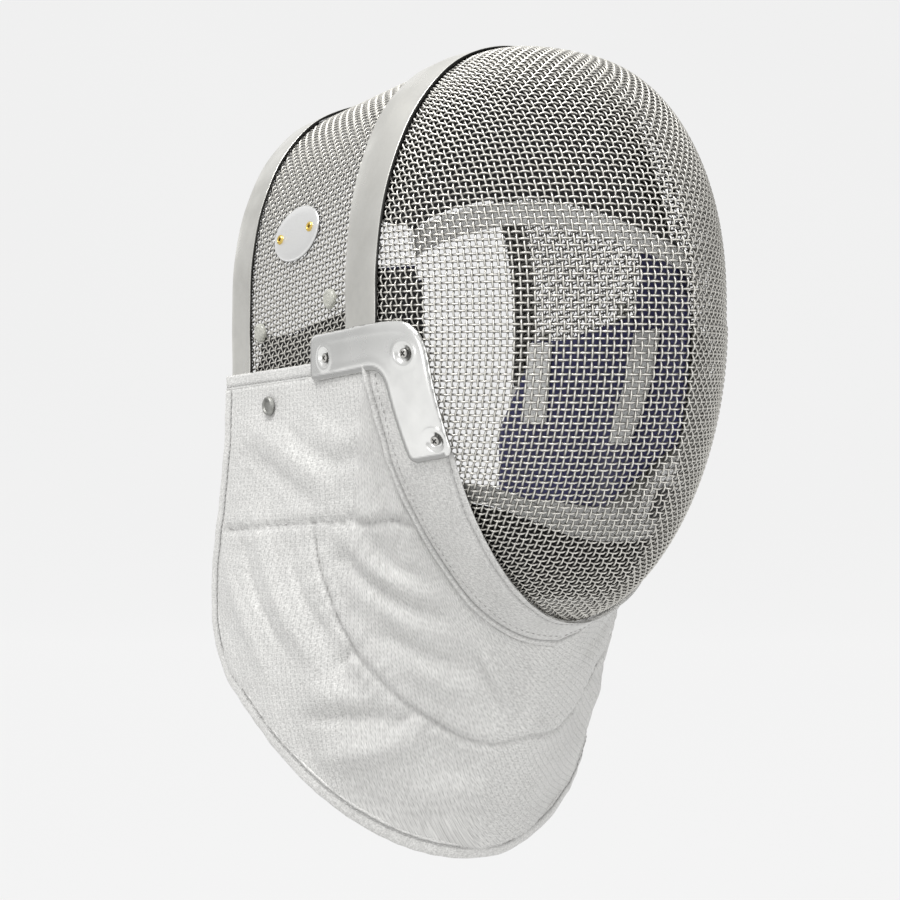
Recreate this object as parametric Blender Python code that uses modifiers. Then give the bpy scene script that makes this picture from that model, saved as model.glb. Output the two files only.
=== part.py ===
"""A sabre fencing mask: woven wire face and crown, steel bands, corner brackets, padded bib and liner.

Metres, +Z up. The wearer looks along -Y, with the wearer's right hand at -X. The origin is the seat
inside the crown, where the head meets the mesh.
"""

import math

import bmesh
import bpy
from mathutils import Vector

NAME = "fencing_mask"

# Dome of the face mesh: half of a rounded egg with an upright crease in front.
CENTRE_Y = -0.060
CENTRE_Z = -0.1187
DOME_HALF_WIDTH = 0.0900
DOME_REACH = 0.1130
DOME_RISE = 0.1265
DOME_DROP = 0.139
TOP_SQUARENESS = 2.60
TOP_ROUNDNESS = 1.842
CHIN_SQUARENESS = 2.09
CHIN_ROUNDNESS = 1.87
CREASE = 0.027
CREASE_FADE = 3.24
TOP_LEAN = 0.011
CHIN_LEAN = 0.015

# Crown: the strip of mesh that runs from ear to ear over the head.
CROWN_FRONT_Y = -0.0545
CROWN_REAR_Y = 0.0600
CROWN_FRONT_RISE = 0.1262
CROWN_REAR_RISE = 0.1158
CROWN_FRONT_WIDTH = 0.0898
CROWN_REAR_WIDTH = 0.0908
CROWN_FRONT_SQUARENESS = 2.60
CROWN_REAR_SQUARENESS = 2.45
LEG_PER_DEGREE = 0.0016

MESH_THICK = 0.0020
CROWN_TUCK = 0.0060
WALL_BLEND = 0.045
FACE_REAR_Y = -0.0560
JAW_Y = -0.0975
JAW_START = 4.0
JAW_TURN = 16.0

# Directions round the long axis, in degrees, at which the arch and the jaw are divided.
ARCH_ANGLES = [
    0, 8, 17, 26, 35, 43, 50, 57, 65, 73, 82, 90, 98, 107, 115, 123, 130, 137, 145, 154, 163, 172, 180,
]
LOW_ANGLES = [
    184, 187, 190, 193, 196, 200, 208, 217, 228, 240, 252, 262,
    270, 278, 288, 300, 312, 323, 332, 340, 344, 347, 350, 353, 356,
]
FACE_RINGS = [0.015, 0.06, 0.135, 0.235, 0.36, 0.50, 0.65, 0.81, 0.93, 1.0]
SIDES = {-1: "right", 1: "left"}

# Steel bands.
BAND_THICK = 0.0012
BAND_SEAT = 0.0004
FRONT_BAND_Y = (-0.0663, -0.0446)
REAR_BAND_Y = (0.0423, 0.0606)
FRONT_BAND_LEG = -13.0
REAR_BAND_LEG = -18.0

# Corner bracket: an L-shaped plate in the (y, z) plane of the mask's side.
BRACKET_THICK = 0.0014
BRACKET_SEAT = 0.0033
BRACKET_REAR = -0.0190
BRACKET_FRONT = -0.0990
BRACKET_TOP = -0.1180
BRACKET_SLOPE = -0.080
BRACKET_WIDTH = 0.0212
BRACKET_FOOT = -0.1775
BRACKET_CORNER = 0.0050
BRACKET_ELBOW = 0.0170
BRACKET_CROOK = 0.0085
SCREW_PLACES = {"rear": (-0.0315, -0.1337), "corner": (-0.0862, -0.1321), "foot": (-0.0955, -0.1680)}
PLATE_FACET = 0.0110
PLATE_WELD = 0.0002
SCREW_RADIUS = 0.0024
SCREW_HEIGHT = 0.0012

# Oval badge with two eyelets, and the clips of the liner.
BADGE_PLACE = (0.0030, -0.0752)
BADGE_HALF_SIZE = (0.0200, 0.0128)
BADGE_TILT = math.radians(-9.0)
BADGE_THICK = 0.0008
EYELET_SPREAD = 0.0132
EYELET_RADIUS = 0.0022
EYELET_HOLE = 0.0011
EYELET_HEIGHT = 0.0006
SMALL_SEAT = 0.0004
SCREW_SEAT = 0.0003
SNAP_SEAT = 0.0045
CLIP_PLACES = {"front": (-0.0310, -0.1072), "rear": (0.0326, -0.1210)}
CLIP_RADIUS = 0.0044
CLIP_HEIGHT = 0.0022
SNAP_PLACE = (0.0184, -0.1564)
SNAP_RADIUS = 0.0034
SNAP_HEIGHT = 0.0016

# Cloth.
TRIM_DEPTH = 0.0075
TRIM_THICK = 0.0018
TRIM_TOP = -0.1360
TRIM_TOP_Y = -0.0187
TRIM_SLOPE = -0.077
TRIM_FRONT_Y = -0.0400
BIB_FRONT_Y = -0.0605
CLOTH_SEAT = 0.0005
REAR_BAND_CLEARANCE = 0.0016
CLEARANCE_START_Y = -0.010
CLEARANCE_RUN = 0.045
STRIP_THICK = 0.0018
STRIP_SINK = 0.0018
STRIP_FRONT_Y = -0.1010
BIB_THICK = 0.0030
BIB_REAR_Y = 0.0635
HEM_DEPTH = 0.0056
HEM_THICK = 0.0046
HEM_GAP = 0.0014
HEM_TURN = 0.93
HEM_START = 0.020
HEM_SECTION = ((1, 0), (1, 1), (0.35, 1), (0, 0.72), (0, 0.28), (0.35, 0))
BIB_TOP_DROP = 0.004
BIB_SHARES = (0.0, 0.06) + tuple(0.14 + 0.86 * k / 17 for k in range(18))
PIECE_GAP = 0.0004

# Seam between the plain jaw strip and the bib, round the dome's long axis. Rows of (angle, radius, y).
SEAM = (
    (13.6, 0.0955, -0.0605),
    (27.7, 0.0975, -0.0630),
    (38.1, 0.1026, -0.0640),
    (51.8, 0.1120, -0.0660),
    (61.8, 0.1210, -0.0680),
    (72.7, 0.1350, -0.0715),
    (80.9, 0.1450, -0.0765),
    (90.0, 0.1500, -0.0805),
)

# Hem of the bib, from its lowest point in front to the rear corners.
HEM_HALF_WIDTH = 0.1004
HEM_FRONT_Y = -0.0394
HEM_RUN = 0.0930
HEM_SQUARENESS = 2.5
HEM_LOW = -0.3795
HEM_HIGH = -0.2960
HEM_CURVE = 1.51
HEM_TILT = 0.0155
REAR_EDGE_SWELL = 0.125
REAR_EDGE_SHARE = 0.16
REAR_EDGE_POWER = 2.6
BELLY_PEAK = 6.75
STRIP_END = 0.985
# Rows of (share, out, forward): how far the bib swells between its top and its hem.
BELLY = (
    (0.00, 0.0010, 0.0000),
    (0.20, 0.0035, 0.0000),
    (0.45, 0.0030, 0.0000),
    (0.70, 0.0005, 0.0000),
    (1.00, 0.0000, 0.0010),
)
SIDE_SHARE = 0.50

# Liner.
LINER_FACE = -0.0034
LINER_THICK = 0.0030
LINER_TOP = -0.1130
LINER_TOP_Y = -0.0331
LINER_SLOPE = -0.213
LINER_FRONT_Y = -0.0905
LINER_REAR_Y = 0.0390
LINER_TOP_LOW = -0.1225
LINER_FOOT_FRONT = -0.1780
LINER_FOOT_REAR = -0.2130
LINER_FLARE = 0.0290
TAB_Y = (-0.0850, -0.0500)
TAB_TOPS = {-1: -0.0960, 1: -0.0760}
PAD_HALF_WIDTH = 0.0750
PAD_EDGE_Z = -0.0600
PAD_EDGE_DROP = 0.0155
PAD_EDGE_Y = -0.0730
PAD_EDGE_SWEEP = 0.0090
PAD_TOP_Y = -0.0575
PAD_TOP_GAP = 0.0011
PAD_THICK = 0.0060
BINDING_DEPTH = 0.0110
BINDING_LEAN = 0.26
BINDING_DROP = 0.0032
PAD_FIRST_ANGLE = 37
BINDING_THICK = 0.0036
CHIN_TOP = -0.2145
CHIN_RISE = 0.0165
CHIN_RISE_POWER = 4.7
CHIN_FOOT = -0.2430
CHIN_HUB_Y = -0.0960
CHIN_BINDING_RISE = 0.0085
TAPE_WIDTH = 0.0200
TAPE_THICK = 0.0012
STRIP_GAP = 0.0011
STRIPS = {"rear": (0.0270, 0.11, -0.1235, -0.1690), "front": (-0.0580, 0.20, -0.1180, -0.1790)}

COLOURS = {
    "woven_steel": ((0.56, 0.55, 0.53, 1), 0.35, 1.0),
    "satin_steel": ((0.72, 0.72, 0.70, 1), 0.32, 1.0),
    "pressed_steel": ((0.76, 0.76, 0.75, 1), 0.22, 1.0),
    "badge_metal": ((0.80, 0.80, 0.80, 1), 0.35, 1.0),
    "brass": ((0.75, 0.55, 0.15, 1), 0.30, 1.0),
    "clear_plastic": ((0.74, 0.73, 0.68, 1), 0.25, 0.0),
    "silver_cloth": ((0.80, 0.80, 0.78, 1), 0.60, 0.2),
    "navy_cloth": ((0.03, 0.03, 0.10, 1), 0.80, 0.0),
    "black_cloth": ((0.02, 0.02, 0.02, 1), 0.85, 0.0),
    "grey_binding": ((0.45, 0.45, 0.44, 1), 0.80, 0.0),
    "grey_metal": ((0.45, 0.45, 0.43, 1), 0.40, 1.0),
}


def clear_scene():
    for old in list(bpy.data.objects):
        bpy.data.objects.remove(old, do_unlink=True)


def new_collection(name):
    group = bpy.data.collections.new(name)
    bpy.context.scene.collection.children.link(group)
    return group


def make_material(name):
    colour, roughness, metallic = COLOURS[name]
    material = bpy.data.materials.new(name)
    material.use_nodes = True
    shader = material.node_tree.nodes["Principled BSDF"]
    shader.inputs["Base Color"].default_value = colour
    shader.inputs["Roughness"].default_value = roughness
    shader.inputs["Metallic"].default_value = metallic
    material.diffuse_color = colour
    return material


def steps(first, last, count):
    return [first + (last - first) * k / count for k in range(count + 1)]


def mix(a, b, share):
    return a + (b - a) * share


def clamp(value, low=0.0, high=1.0):
    return max(low, min(high, value))


def smooth(share):
    share = clamp(share)
    return share * share * (3 - 2 * share)


def read_table(rows, value):
    """Each column at `value` of the first, on a smooth curve through the rows."""
    last = len(rows) - 1
    k = 0
    while k < last - 1 and value > rows[k + 1][0]:
        k += 1
    a, b = rows[k], rows[k + 1]
    before, after = rows[max(k - 1, 0)], rows[min(k + 2, last)]
    share = clamp((value - a[0]) / (b[0] - a[0]))
    result = []
    for column in range(1, len(a)):
        span = b[0] - a[0]
        slope_a = (b[column] - before[column]) / (b[0] - before[0]) * span
        slope_b = (after[column] - a[column]) / (after[0] - a[0]) * span
        s2, s3 = share * share, share ** 3
        result.append(
            (2 * s3 - 3 * s2 + 1) * a[column] + (s3 - 2 * s2 + share) * slope_a
            + (3 * s2 - 2 * s3) * b[column] + (s3 - s2) * slope_b
        )
    return result


def dome_field(x, y, z):
    """Below zero inside the dome, above zero outside it."""
    height = z - CENTRE_Z
    if height > 0:
        level, lean = height / DOME_RISE, TOP_LEAN * (height / DOME_RISE) ** 3
        square, rounding = TOP_SQUARENESS, TOP_ROUNDNESS
    else:
        level, lean = -height / DOME_DROP, CHIN_LEAN * (height / DOME_DROP) ** 2
        square, rounding = CHIN_SQUARENESS, CHIN_ROUNDNESS
    crease = CREASE * clamp(1 - level ** CREASE_FADE)
    across = (abs(x) + crease) / (DOME_HALF_WIDTH + crease)
    section = (across ** square + level ** square) ** (rounding / square)
    ahead = max(CENTRE_Y - lean - y, 0)
    return section + (ahead / DOME_REACH) ** rounding - 1


def dome_hit(start, way):
    """The dome's outer face, met from a start inside it."""
    low, high = 0.0, 0.25
    for _ in range(40):
        middle = (low + high) / 2
        place = start + way * middle
        if dome_field(place.x, place.y, place.z) < 0:
            low = middle
        else:
            high = middle
    return start + way * low


def spoke(angle):
    """Direction round the long axis, from the wearer's right over the top."""
    turn = math.radians(angle)
    return Vector((-math.cos(turn), 0, math.sin(turn)))


def dome_radius(angle, y):
    hub = Vector((0, y, CENTRE_Z))
    return (dome_hit(hub, spoke(angle)) - hub).length


def level_point(turn, z, hub_y):
    """The dome at one height, round an upright axis from the wearer's right over the front."""
    angle = math.radians(turn)
    return dome_hit(Vector((0, hub_y, z)), Vector((-math.cos(angle), -math.sin(angle), 0)))


def round_axis(angle, y, radius):
    return Vector((0, y, CENTRE_Z)) + spoke(angle) * radius


def crown_share(y):
    return (y - CROWN_FRONT_Y) / (CROWN_REAR_Y - CROWN_FRONT_Y)


def crown_width(y):
    return mix(CROWN_FRONT_WIDTH, CROWN_REAR_WIDTH, crown_share(y))


def crown_radius(angle, y):
    share = crown_share(y)
    rise = mix(CROWN_FRONT_RISE, CROWN_REAR_RISE, share)
    square = mix(CROWN_FRONT_SQUARENESS, CROWN_REAR_SQUARENESS, share)
    c, s = abs(math.cos(math.radians(angle))), abs(math.sin(math.radians(angle)))
    return ((c / crown_width(y)) ** square + (s / rise) ** square) ** (-1 / square)


def crown_point(angle, y, with_dome=False):
    """Outer face of the crown: an arch from 0 to 180 degrees, with straight legs below it."""
    if angle < 0:
        return Vector((-crown_width(y), y, CENTRE_Z + LEG_PER_DEGREE * angle))
    if angle > 180:
        return Vector((crown_width(y), y, CENTRE_Z - LEG_PER_DEGREE * (angle - 180)))
    radius = crown_radius(angle, y)
    if with_dome and y < CROWN_FRONT_Y:
        radius = max(radius, dome_radius(angle, y))
    return round_axis(angle, y, radius)


def side_x(y, z):
    """Half-width of the mask's side at a place of the side view."""
    if y >= CENTRE_Y and z <= CENTRE_Z:
        return crown_width(y)
    if y >= CENTRE_Y:
        share = crown_share(y)
        rise = mix(CROWN_FRONT_RISE, CROWN_REAR_RISE, share)
        square = mix(CROWN_FRONT_SQUARENESS, CROWN_REAR_SQUARENESS, share)
        return crown_width(y) * (1 - ((z - CENTRE_Z) / rise) ** square) ** (1 / square)
    return dome_hit(Vector((0, y, z)), Vector((1, 0, 0))).x


def wall_x(y, z):
    """Half-width of the wall that the liner lies on: the dome in front, the crown's legs behind."""
    if z >= CENTRE_Z:
        return side_x(y, z)
    ahead = side_x(min(y, CENTRE_Y - 0.0001), z)
    return mix(ahead, crown_width(y), smooth((y - CENTRE_Y) / WALL_BLEND))


def smooth_object(mesh, angle=35.0):
    mesh.shade_smooth()
    mesh.set_sharp_from_angle(angle=math.radians(angle))


def link_mesh(name, bm, group, material, angle=35.0):
    mesh = bpy.data.meshes.new(name)
    bm.to_mesh(mesh)
    bm.free()
    mesh.materials.append(material)
    smooth_object(mesh, angle)
    piece = bpy.data.objects.new(name, mesh)
    group.objects.link(piece)
    return piece


def grid_normals(grid):
    """Outward direction at each point of a grid of points, away from the mask's inside."""
    rows, columns = len(grid), len(grid[0])
    inside = Vector((0, CENTRE_Y + 0.06, CENTRE_Z - 0.02))
    normals = []
    facing = 0.0
    for i in range(rows):
        line = []
        for j in range(columns):
            along = grid[i][min(j + 1, columns - 1)] - grid[i][max(j - 1, 0)]
            down = grid[min(i + 1, rows - 1)][j] - grid[max(i - 1, 0)][j]
            normal = along.cross(down)
            if normal.length < 1e-12:
                normal = Vector((0, -1, 0))
            normal.normalize()
            facing += normal.dot((grid[i][j] - inside).normalized())
            line.append(normal)
        normals.append(line)
    if facing < 0:
        normals = [[-n for n in line] for line in normals]
    return normals


def raise_grid(grid, height):
    """The grid moved outwards."""
    return [[p + n * height for p, n in zip(row, line)] for row, line in zip(grid, grid_normals(grid))]


def skin(name, grid, face, thick, group, material, tip=None, around=False):
    """A wall with its outer face `face` above the grid, and `thick` deep towards the inside."""
    outer = raise_grid(grid, face)
    bm = bmesh.new()
    verts = [[bm.verts.new(p) for p in row] for row in outer]
    for i in range(len(verts) - 1):
        for j in range(len(verts[0]) - 1):
            bm.faces.new((verts[i][j], verts[i][j + 1], verts[i + 1][j + 1], verts[i + 1][j]))
    if tip is not None:
        point = bm.verts.new(tip + Vector((0, -face, 0)))
        for j in range(1, len(verts[0])):
            bm.faces.new((verts[0][j - 1], verts[0][j], point))
        if around:
            bm.faces.new((verts[0][-1], verts[0][0], point))
            for i in range(len(verts) - 1):
                bm.faces.new((verts[i][-1], verts[i][0], verts[i + 1][0], verts[i + 1][-1]))
    bmesh.ops.recalc_face_normals(bm, faces=bm.faces)
    bm.normal_update()
    inside = Vector((0, CENTRE_Y + 0.06, CENTRE_Z - 0.02))
    facing = sum(f.normal.dot(f.calc_center_median() - inside) for f in bm.faces)
    if facing < 0:
        bmesh.ops.reverse_faces(bm, faces=bm.faces)
    piece = link_mesh(name, bm, group, material)
    wall = piece.modifiers.new("wall", "SOLIDIFY")
    wall.thickness = thick
    wall.offset = -1
    wall.use_even_offset = False
    return piece


def bar(name, rings, group, material, closed=False):
    """A bar through rings of points, with flat ends or joined end to end."""
    bm = bmesh.new()
    verts = [[bm.verts.new(p) for p in ring] for ring in rings]
    count = len(verts[0])
    pairs = list(zip(verts[:-1], verts[1:]))
    if closed:
        pairs.append((verts[-1], verts[0]))
    for a, b in pairs:
        for k in range(count):
            bm.faces.new((a[k], a[(k + 1) % count], b[(k + 1) % count], b[k]))
    if not closed:
        bm.faces.new(verts[0])
        bm.faces.new(list(reversed(verts[-1])))
    bmesh.ops.recalc_face_normals(bm, faces=bm.faces)
    return link_mesh(name, bm, group, material, 50.0)


def face_mesh(group, material):
    tip = dome_hit(Vector((0, CENTRE_Y, CENTRE_Z)), Vector((0, -1, 0)))
    angles = [a for a in ARCH_ANGLES if 0 <= a <= 180] + LOW_ANGLES
    grid = []
    for ring in FACE_RINGS:
        row = []
        for angle in angles:
            below = smooth((min(angle - 180, 360 - angle) - JAW_START) / JAW_TURN)
            rear = mix(FACE_REAR_Y, JAW_Y, below)
            y = mix(tip.y, rear, ring)
            row.append(round_axis(angle, y, dome_radius(angle, y)))
        grid.append(row)
    return skin("face_mesh", grid, 0.0, MESH_THICK, group, material, tip, around=True)


def crown_mesh(group, material):
    grid = []
    for y in steps(CROWN_FRONT_Y, CROWN_REAR_Y, 6):
        foot = (trim_top(y) - CROWN_TUCK - CENTRE_Z) / LEG_PER_DEGREE
        angles = [foot, foot / 2] + [a for a in ARCH_ANGLES if 0 <= a <= 180] + [180 - foot / 2, 180 - foot]
        grid.append([crown_point(a, y) for a in angles])
    return skin("crown_mesh", grid, 0.0, MESH_THICK, group, material)


def band(name, y_range, leg, group, material):
    angles = [leg, leg / 2] + [a for a in ARCH_ANGLES if 0 <= a <= 180] + [180 - leg / 2, 180 - leg]
    middle = (y_range[0] + y_range[1]) / 2
    grid = [[crown_point(a, y, True) for a in angles] for y in (y_range[0], middle, y_range[1])]
    return skin(name, grid, BAND_SEAT + BAND_THICK, BAND_THICK, group, material)


def trim_top(y):
    return TRIM_TOP + TRIM_SLOPE * (y - TRIM_TOP_Y)


def trim_lift(y):
    """Height of the cloth's inner face over the crown's side; it passes outside the rear band."""
    return CLOTH_SEAT + REAR_BAND_CLEARANCE * clamp((y - CLEARANCE_START_Y) / CLEARANCE_RUN)


def round_corner(points, radii, count=4):
    """A closed outline with each corner turned into an arc-like curve."""
    outline = []
    total = len(points)
    for k, corner in enumerate(points):
        radius = radii[k]
        back = Vector(points[k - 1]) - Vector(corner)
        ahead = Vector(points[(k + 1) % total]) - Vector(corner)
        first = Vector(corner) + back.normalized() * radius
        last = Vector(corner) + ahead.normalized() * radius
        for step in range(count + 1):
            t = step / count
            outline.append(first * (1 - t) ** 2 + Vector(corner) * 2 * t * (1 - t) + last * t ** 2)
    return outline


def bracket_outline():
    top_rear = BRACKET_TOP - 0.0055
    top_front = top_rear + BRACKET_SLOPE * (BRACKET_FRONT - BRACKET_REAR)
    foot_front = BRACKET_FRONT - 0.0028
    corners = (
        (BRACKET_REAR, top_rear),
        (BRACKET_FRONT + 0.004, top_front),
        (foot_front, BRACKET_FOOT + 0.003),
        (foot_front + BRACKET_WIDTH, BRACKET_FOOT - 0.001),
        (BRACKET_FRONT + 0.004 + BRACKET_WIDTH, top_front - BRACKET_WIDTH),
        (BRACKET_REAR, top_rear - BRACKET_WIDTH),
    )
    radii = (BRACKET_CORNER, BRACKET_ELBOW, BRACKET_CORNER, BRACKET_CORNER, BRACKET_CROOK, BRACKET_CORNER)
    return round_corner([Vector(c) for c in corners], radii)


def side_plate(name, outline, face, thick, side, group, material):
    """A thin plate that lies on the mask's side, cut to an outline of the side view."""
    bm = bmesh.new()
    bm.faces.new([bm.verts.new((0, p[0], p[1])) for p in outline])
    for axis in (1, 2):
        values = [p[axis - 1] for p in outline]
        count = math.ceil((max(values) - min(values)) / PLATE_FACET)
        for k in range(1, count):
            level = Vector((0, 0, 0))
            level[axis] = mix(min(values), max(values), k / count)
            normal = Vector((0, 0, 0))
            normal[axis] = 1
            whole = bm.verts[:] + bm.edges[:] + bm.faces[:]
            bmesh.ops.bisect_plane(bm, geom=whole, dist=PLATE_WELD, plane_co=level, plane_no=normal)
    for v in bm.verts:
        place, _ = side_frame(v.co.y, v.co.z, side, face)
        v.co = place
    bmesh.ops.triangulate(bm, faces=bm.faces)
    bm.normal_update()
    if sum(f.normal.x * side for f in bm.faces) < 0:
        bmesh.ops.reverse_faces(bm, faces=bm.faces)
    piece = link_mesh(name, bm, group, material, 60.0)
    wall = piece.modifiers.new("wall", "SOLIDIFY")
    wall.thickness = thick
    wall.offset = -1
    wall.use_even_offset = False
    return piece


def side_frame(y, z, side, height):
    """Place and outward direction on the mask's side, `height` above it."""
    step = 0.0020
    slope_y = (wall_x(y + step, z) - wall_x(y - step, z)) / (2 * step)
    slope_z = (wall_x(y, z + step) - wall_x(y, z - step)) / (2 * step)
    normal = Vector((1, -slope_y, -slope_z)).normalized()
    place = Vector((wall_x(y, z), y, z)) + normal * height
    return Vector((side * place.x, place.y, place.z)), Vector((side * normal.x, normal.y, normal.z))


def button(name, y, z, side, seat, radius, height, group, material, hole=0.0, count=14):
    """A small turned piece that stands on the mask's side."""
    if hole:
        middle = (radius + hole) / 2
        profile = ((radius, 0.0), (radius, height * 0.6), (middle, height), (hole, height * 0.7), (hole, 0))
    else:
        profile = ((radius, 0.0), (radius, height * 0.45), (radius * 0.72, height * 0.9), (0.0, height))
    bm = bmesh.new()
    verts = [bm.verts.new((r, 0, h)) for r, h in profile]
    for a, b in zip(verts[:-1], verts[1:]):
        bm.edges.new((a, b))
    if hole:
        bm.edges.new((verts[-1], verts[0]))
    bmesh.ops.spin(
        bm, geom=bm.verts[:] + bm.edges[:], cent=(0, 0, 0), axis=(0, 0, 1), angle=math.tau,
        steps=count, use_duplicate=False,
    )
    bmesh.ops.remove_doubles(bm, verts=bm.verts, dist=1e-6)
    if not hole:
        rim = [e for e in bm.edges if e.is_boundary]
        bmesh.ops.contextual_create(bm, geom=rim)
    bmesh.ops.recalc_face_normals(bm, faces=bm.faces)
    piece = link_mesh(name, bm, group, material, 50.0)
    place, normal = side_frame(y, z, side, seat)
    piece.location = place
    piece.rotation_mode = "QUATERNION"
    piece.rotation_quaternion = normal.to_track_quat("Z", "Y")
    return piece


def oval(centre, half_size, tilt, count=28):
    c, s = math.cos(tilt), math.sin(tilt)
    points = []
    for k in range(count):
        turn = math.tau * k / count
        a, b = half_size[0] * math.cos(turn), half_size[1] * math.sin(turn)
        points.append(Vector((centre[0] + a * c - b * s, centre[1] + a * s + b * c)))
    return points


def badge(group, materials):
    side_plate("badge", oval(BADGE_PLACE, BADGE_HALF_SIZE, BADGE_TILT), BAND_SEAT + BADGE_THICK,
               BADGE_THICK, -1, group, materials["badge_metal"])
    for end, sign in (("front", -1), ("rear", 1)):
        y = BADGE_PLACE[0] + sign * EYELET_SPREAD * math.cos(BADGE_TILT)
        z = BADGE_PLACE[1] + sign * EYELET_SPREAD * math.sin(BADGE_TILT)
        button(f"badge_eyelet_{end}", y, z, -1, BAND_SEAT + BADGE_THICK + SMALL_SEAT, EYELET_RADIUS,
               EYELET_HEIGHT, group, materials["brass"], hole=EYELET_HOLE)


def seam_point(angle):
    radius, y = read_table(SEAM, angle)
    return round_axis(-angle, y, radius)


def strip_point(angle, across):
    """Outer side of the mesh under the jaw strip, easing away from it towards the bib's seam."""
    seam = seam_point(angle)
    y = mix(STRIP_FRONT_Y, seam.y, across)
    on_dome = round_axis(-angle, y, dome_radius(-angle, y))
    dome_end = round_axis(-angle, seam.y, dome_radius(-angle, seam.y))
    return on_dome + (seam - dome_end) * across ** 3 - spoke(-angle) * STRIP_SINK * across ** 2


def mirror_right(line):
    """A line from the right side to the middle, carried on to the left side."""
    return line + [Vector((-p.x, p.y, p.z)) for p in reversed(line[:-1])]


def jaw_strip(group, material):
    angles = steps(SEAM[0][0], SEAM[-1][0], 17)
    grid = [mirror_right([strip_point(a, w) for a in angles]) for w in steps(0, STRIP_END, 5)]
    return skin("jaw_strip", grid, CLOTH_SEAT + STRIP_THICK, STRIP_THICK, group, material)


def bib_top(share):
    """Upper edge of the bib: level below the side mesh, then down the seam to the chin."""
    if share <= SIDE_SHARE:
        y = mix(BIB_REAR_Y, BIB_FRONT_Y, share / SIDE_SHARE)
        x = -(crown_width(y) + trim_lift(y) + TRIM_THICK)
        return Vector((x, y, trim_top(y) - TRIM_DEPTH - PIECE_GAP))
    return seam_point(mix(SEAM[0][0], SEAM[-1][0], (share - SIDE_SHARE) / (1 - SIDE_SHARE)))


def hem_point(share):
    turn = (1 - share) * math.pi / 2
    power = 2 / HEM_SQUARENESS
    x = -HEM_HALF_WIDTH * math.copysign(abs(math.sin(turn)) ** power, turn)
    y = HEM_FRONT_Y + HEM_RUN * (1 - max(math.cos(turn), 0) ** power)
    z = mix(HEM_LOW, HEM_HIGH, abs(1 - share) ** HEM_CURVE)
    return Vector((x, y, z))


def bib_point(share, drop, side=-1):
    """A place on the bib's outer face; share runs from the rear edge to the middle, drop to the hem."""
    top, hem = bib_top(share), hem_point(share)
    place = top.lerp(hem, drop)
    out, forward = read_table(BELLY, share)
    swell = BELLY_PEAK * drop ** 2 * (1 - drop)
    place.x -= out * swell
    place.y -= forward * swell
    rear = clamp(1 - share / REAR_EDGE_SHARE)
    place.y += REAR_EDGE_SWELL * drop ** REAR_EDGE_POWER * (1 - drop) * rear ** 1.5
    if side > 0:
        place.x = -place.x
        place.z += HEM_TILT * drop * math.sin(clamp(1 - share) * math.pi / 2)
    return place


def inset(place_at, start, end, along):
    """The value next to `start` whose place lies one tape's depth from the edge, which runs `along`."""
    edge = place_at(start)
    near, far = start, end
    for _ in range(24):
        middle = (near + far) / 2
        away = place_at(middle) - edge
        if (away - along * away.dot(along)).length < HEM_DEPTH + HEM_GAP:
            near = middle
        else:
            far = middle
    return near


def edge_share(drop):
    """How far the rear edge's tape reaches over the bib, as a share."""
    along = (bib_point(0, min(drop + 0.02, 1)) - bib_point(0, max(drop - 0.02, 0))).normalized()
    return inset(lambda share: bib_point(share, drop), 0.0, 0.2, along)


def hem_drop(share):
    """Where the hem's tape begins, as a drop."""
    along = (bib_point(share + 0.01, 1) - bib_point(share - 0.01, 1)).normalized()
    return inset(lambda drop: bib_point(share, drop), 1.0, 0.8, along)


def bib(group, material):
    rows = []
    for across in BIB_SHARES:
        line = []
        foot = hem_drop(mix(edge_share(HEM_TURN), 1, across))
        for down in steps(BIB_TOP_DROP, 1, 12):
            drop = down * foot
            line.append((mix(edge_share(drop), 1, across), drop))
        rows.append(line)
    right = [[bib_point(s, d) for s, d in line] for line in rows]
    left = [[bib_point(s, d, 1) for s, d in line] for line in reversed(rows[:-1])]
    return skin("bib", right + left, 0.0, BIB_THICK, group, material)


def hem_places(side):
    """Places along the rear edge and the hem to the middle, with the inward way at each."""
    places = []
    for drop in steps(0.02, HEM_TURN, 9):
        place = bib_point(0, drop, side)
        places.append((place, bib_point(edge_share(drop), drop, side) - place))
    place = bib_point(0, 1, side)
    places.append((place, bib_point(HEM_START, hem_drop(HEM_START), side) - place))
    for share in steps(2 * HEM_START, 1, 15):
        place = bib_point(share, 1, side)
        places.append((place, bib_point(share, hem_drop(share), side) - place))
    return places


def hem_binding(group, material):
    """Folded tape over the rear edges and the hem, as one bar."""
    places = hem_places(-1) + list(reversed(hem_places(1)[:-1]))
    rings = []
    for k, (place, inward) in enumerate(places):
        along = places[min(k + 1, len(places) - 1)][0] - places[max(k - 1, 0)][0]
        along.normalize()
        inward = (inward - along * inward.dot(along)).normalized()
        out = inward.cross(along).normalized()
        if out.dot(place - Vector((0, 0, place.z))) < 0:
            out = -out
        ring = []
        for depth, height in HEM_SECTION:
            ring.append(place + inward * depth * HEM_DEPTH + out * (height - 0.5) * HEM_THICK)
            ring[-1] -= out * BIB_THICK / 2
        rings.append(ring)
    return bar("hem_binding", rings, group, material)


def top_binding(side, group, material):
    grid = []
    ys = steps(BIB_REAR_Y, TRIM_FRONT_Y + 0.001, 12)
    for depth in (0.0, TRIM_DEPTH / 2, TRIM_DEPTH):
        row = []
        for y in ys:
            x = side * (crown_width(y) + trim_lift(y) + TRIM_THICK)
            row.append(Vector((x, y, trim_top(y) - depth)))
        grid.append(row)
    return skin(f"top_binding_{SIDES[side]}", grid, 0.0, TRIM_THICK, group, material)


def liner_top(y, side):
    base = LINER_TOP + LINER_SLOPE * (y - LINER_TOP_Y)
    if TAB_Y[0] <= y <= TAB_Y[1]:
        return TAB_TOPS[side]
    return max(base, LINER_TOP_LOW)


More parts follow.
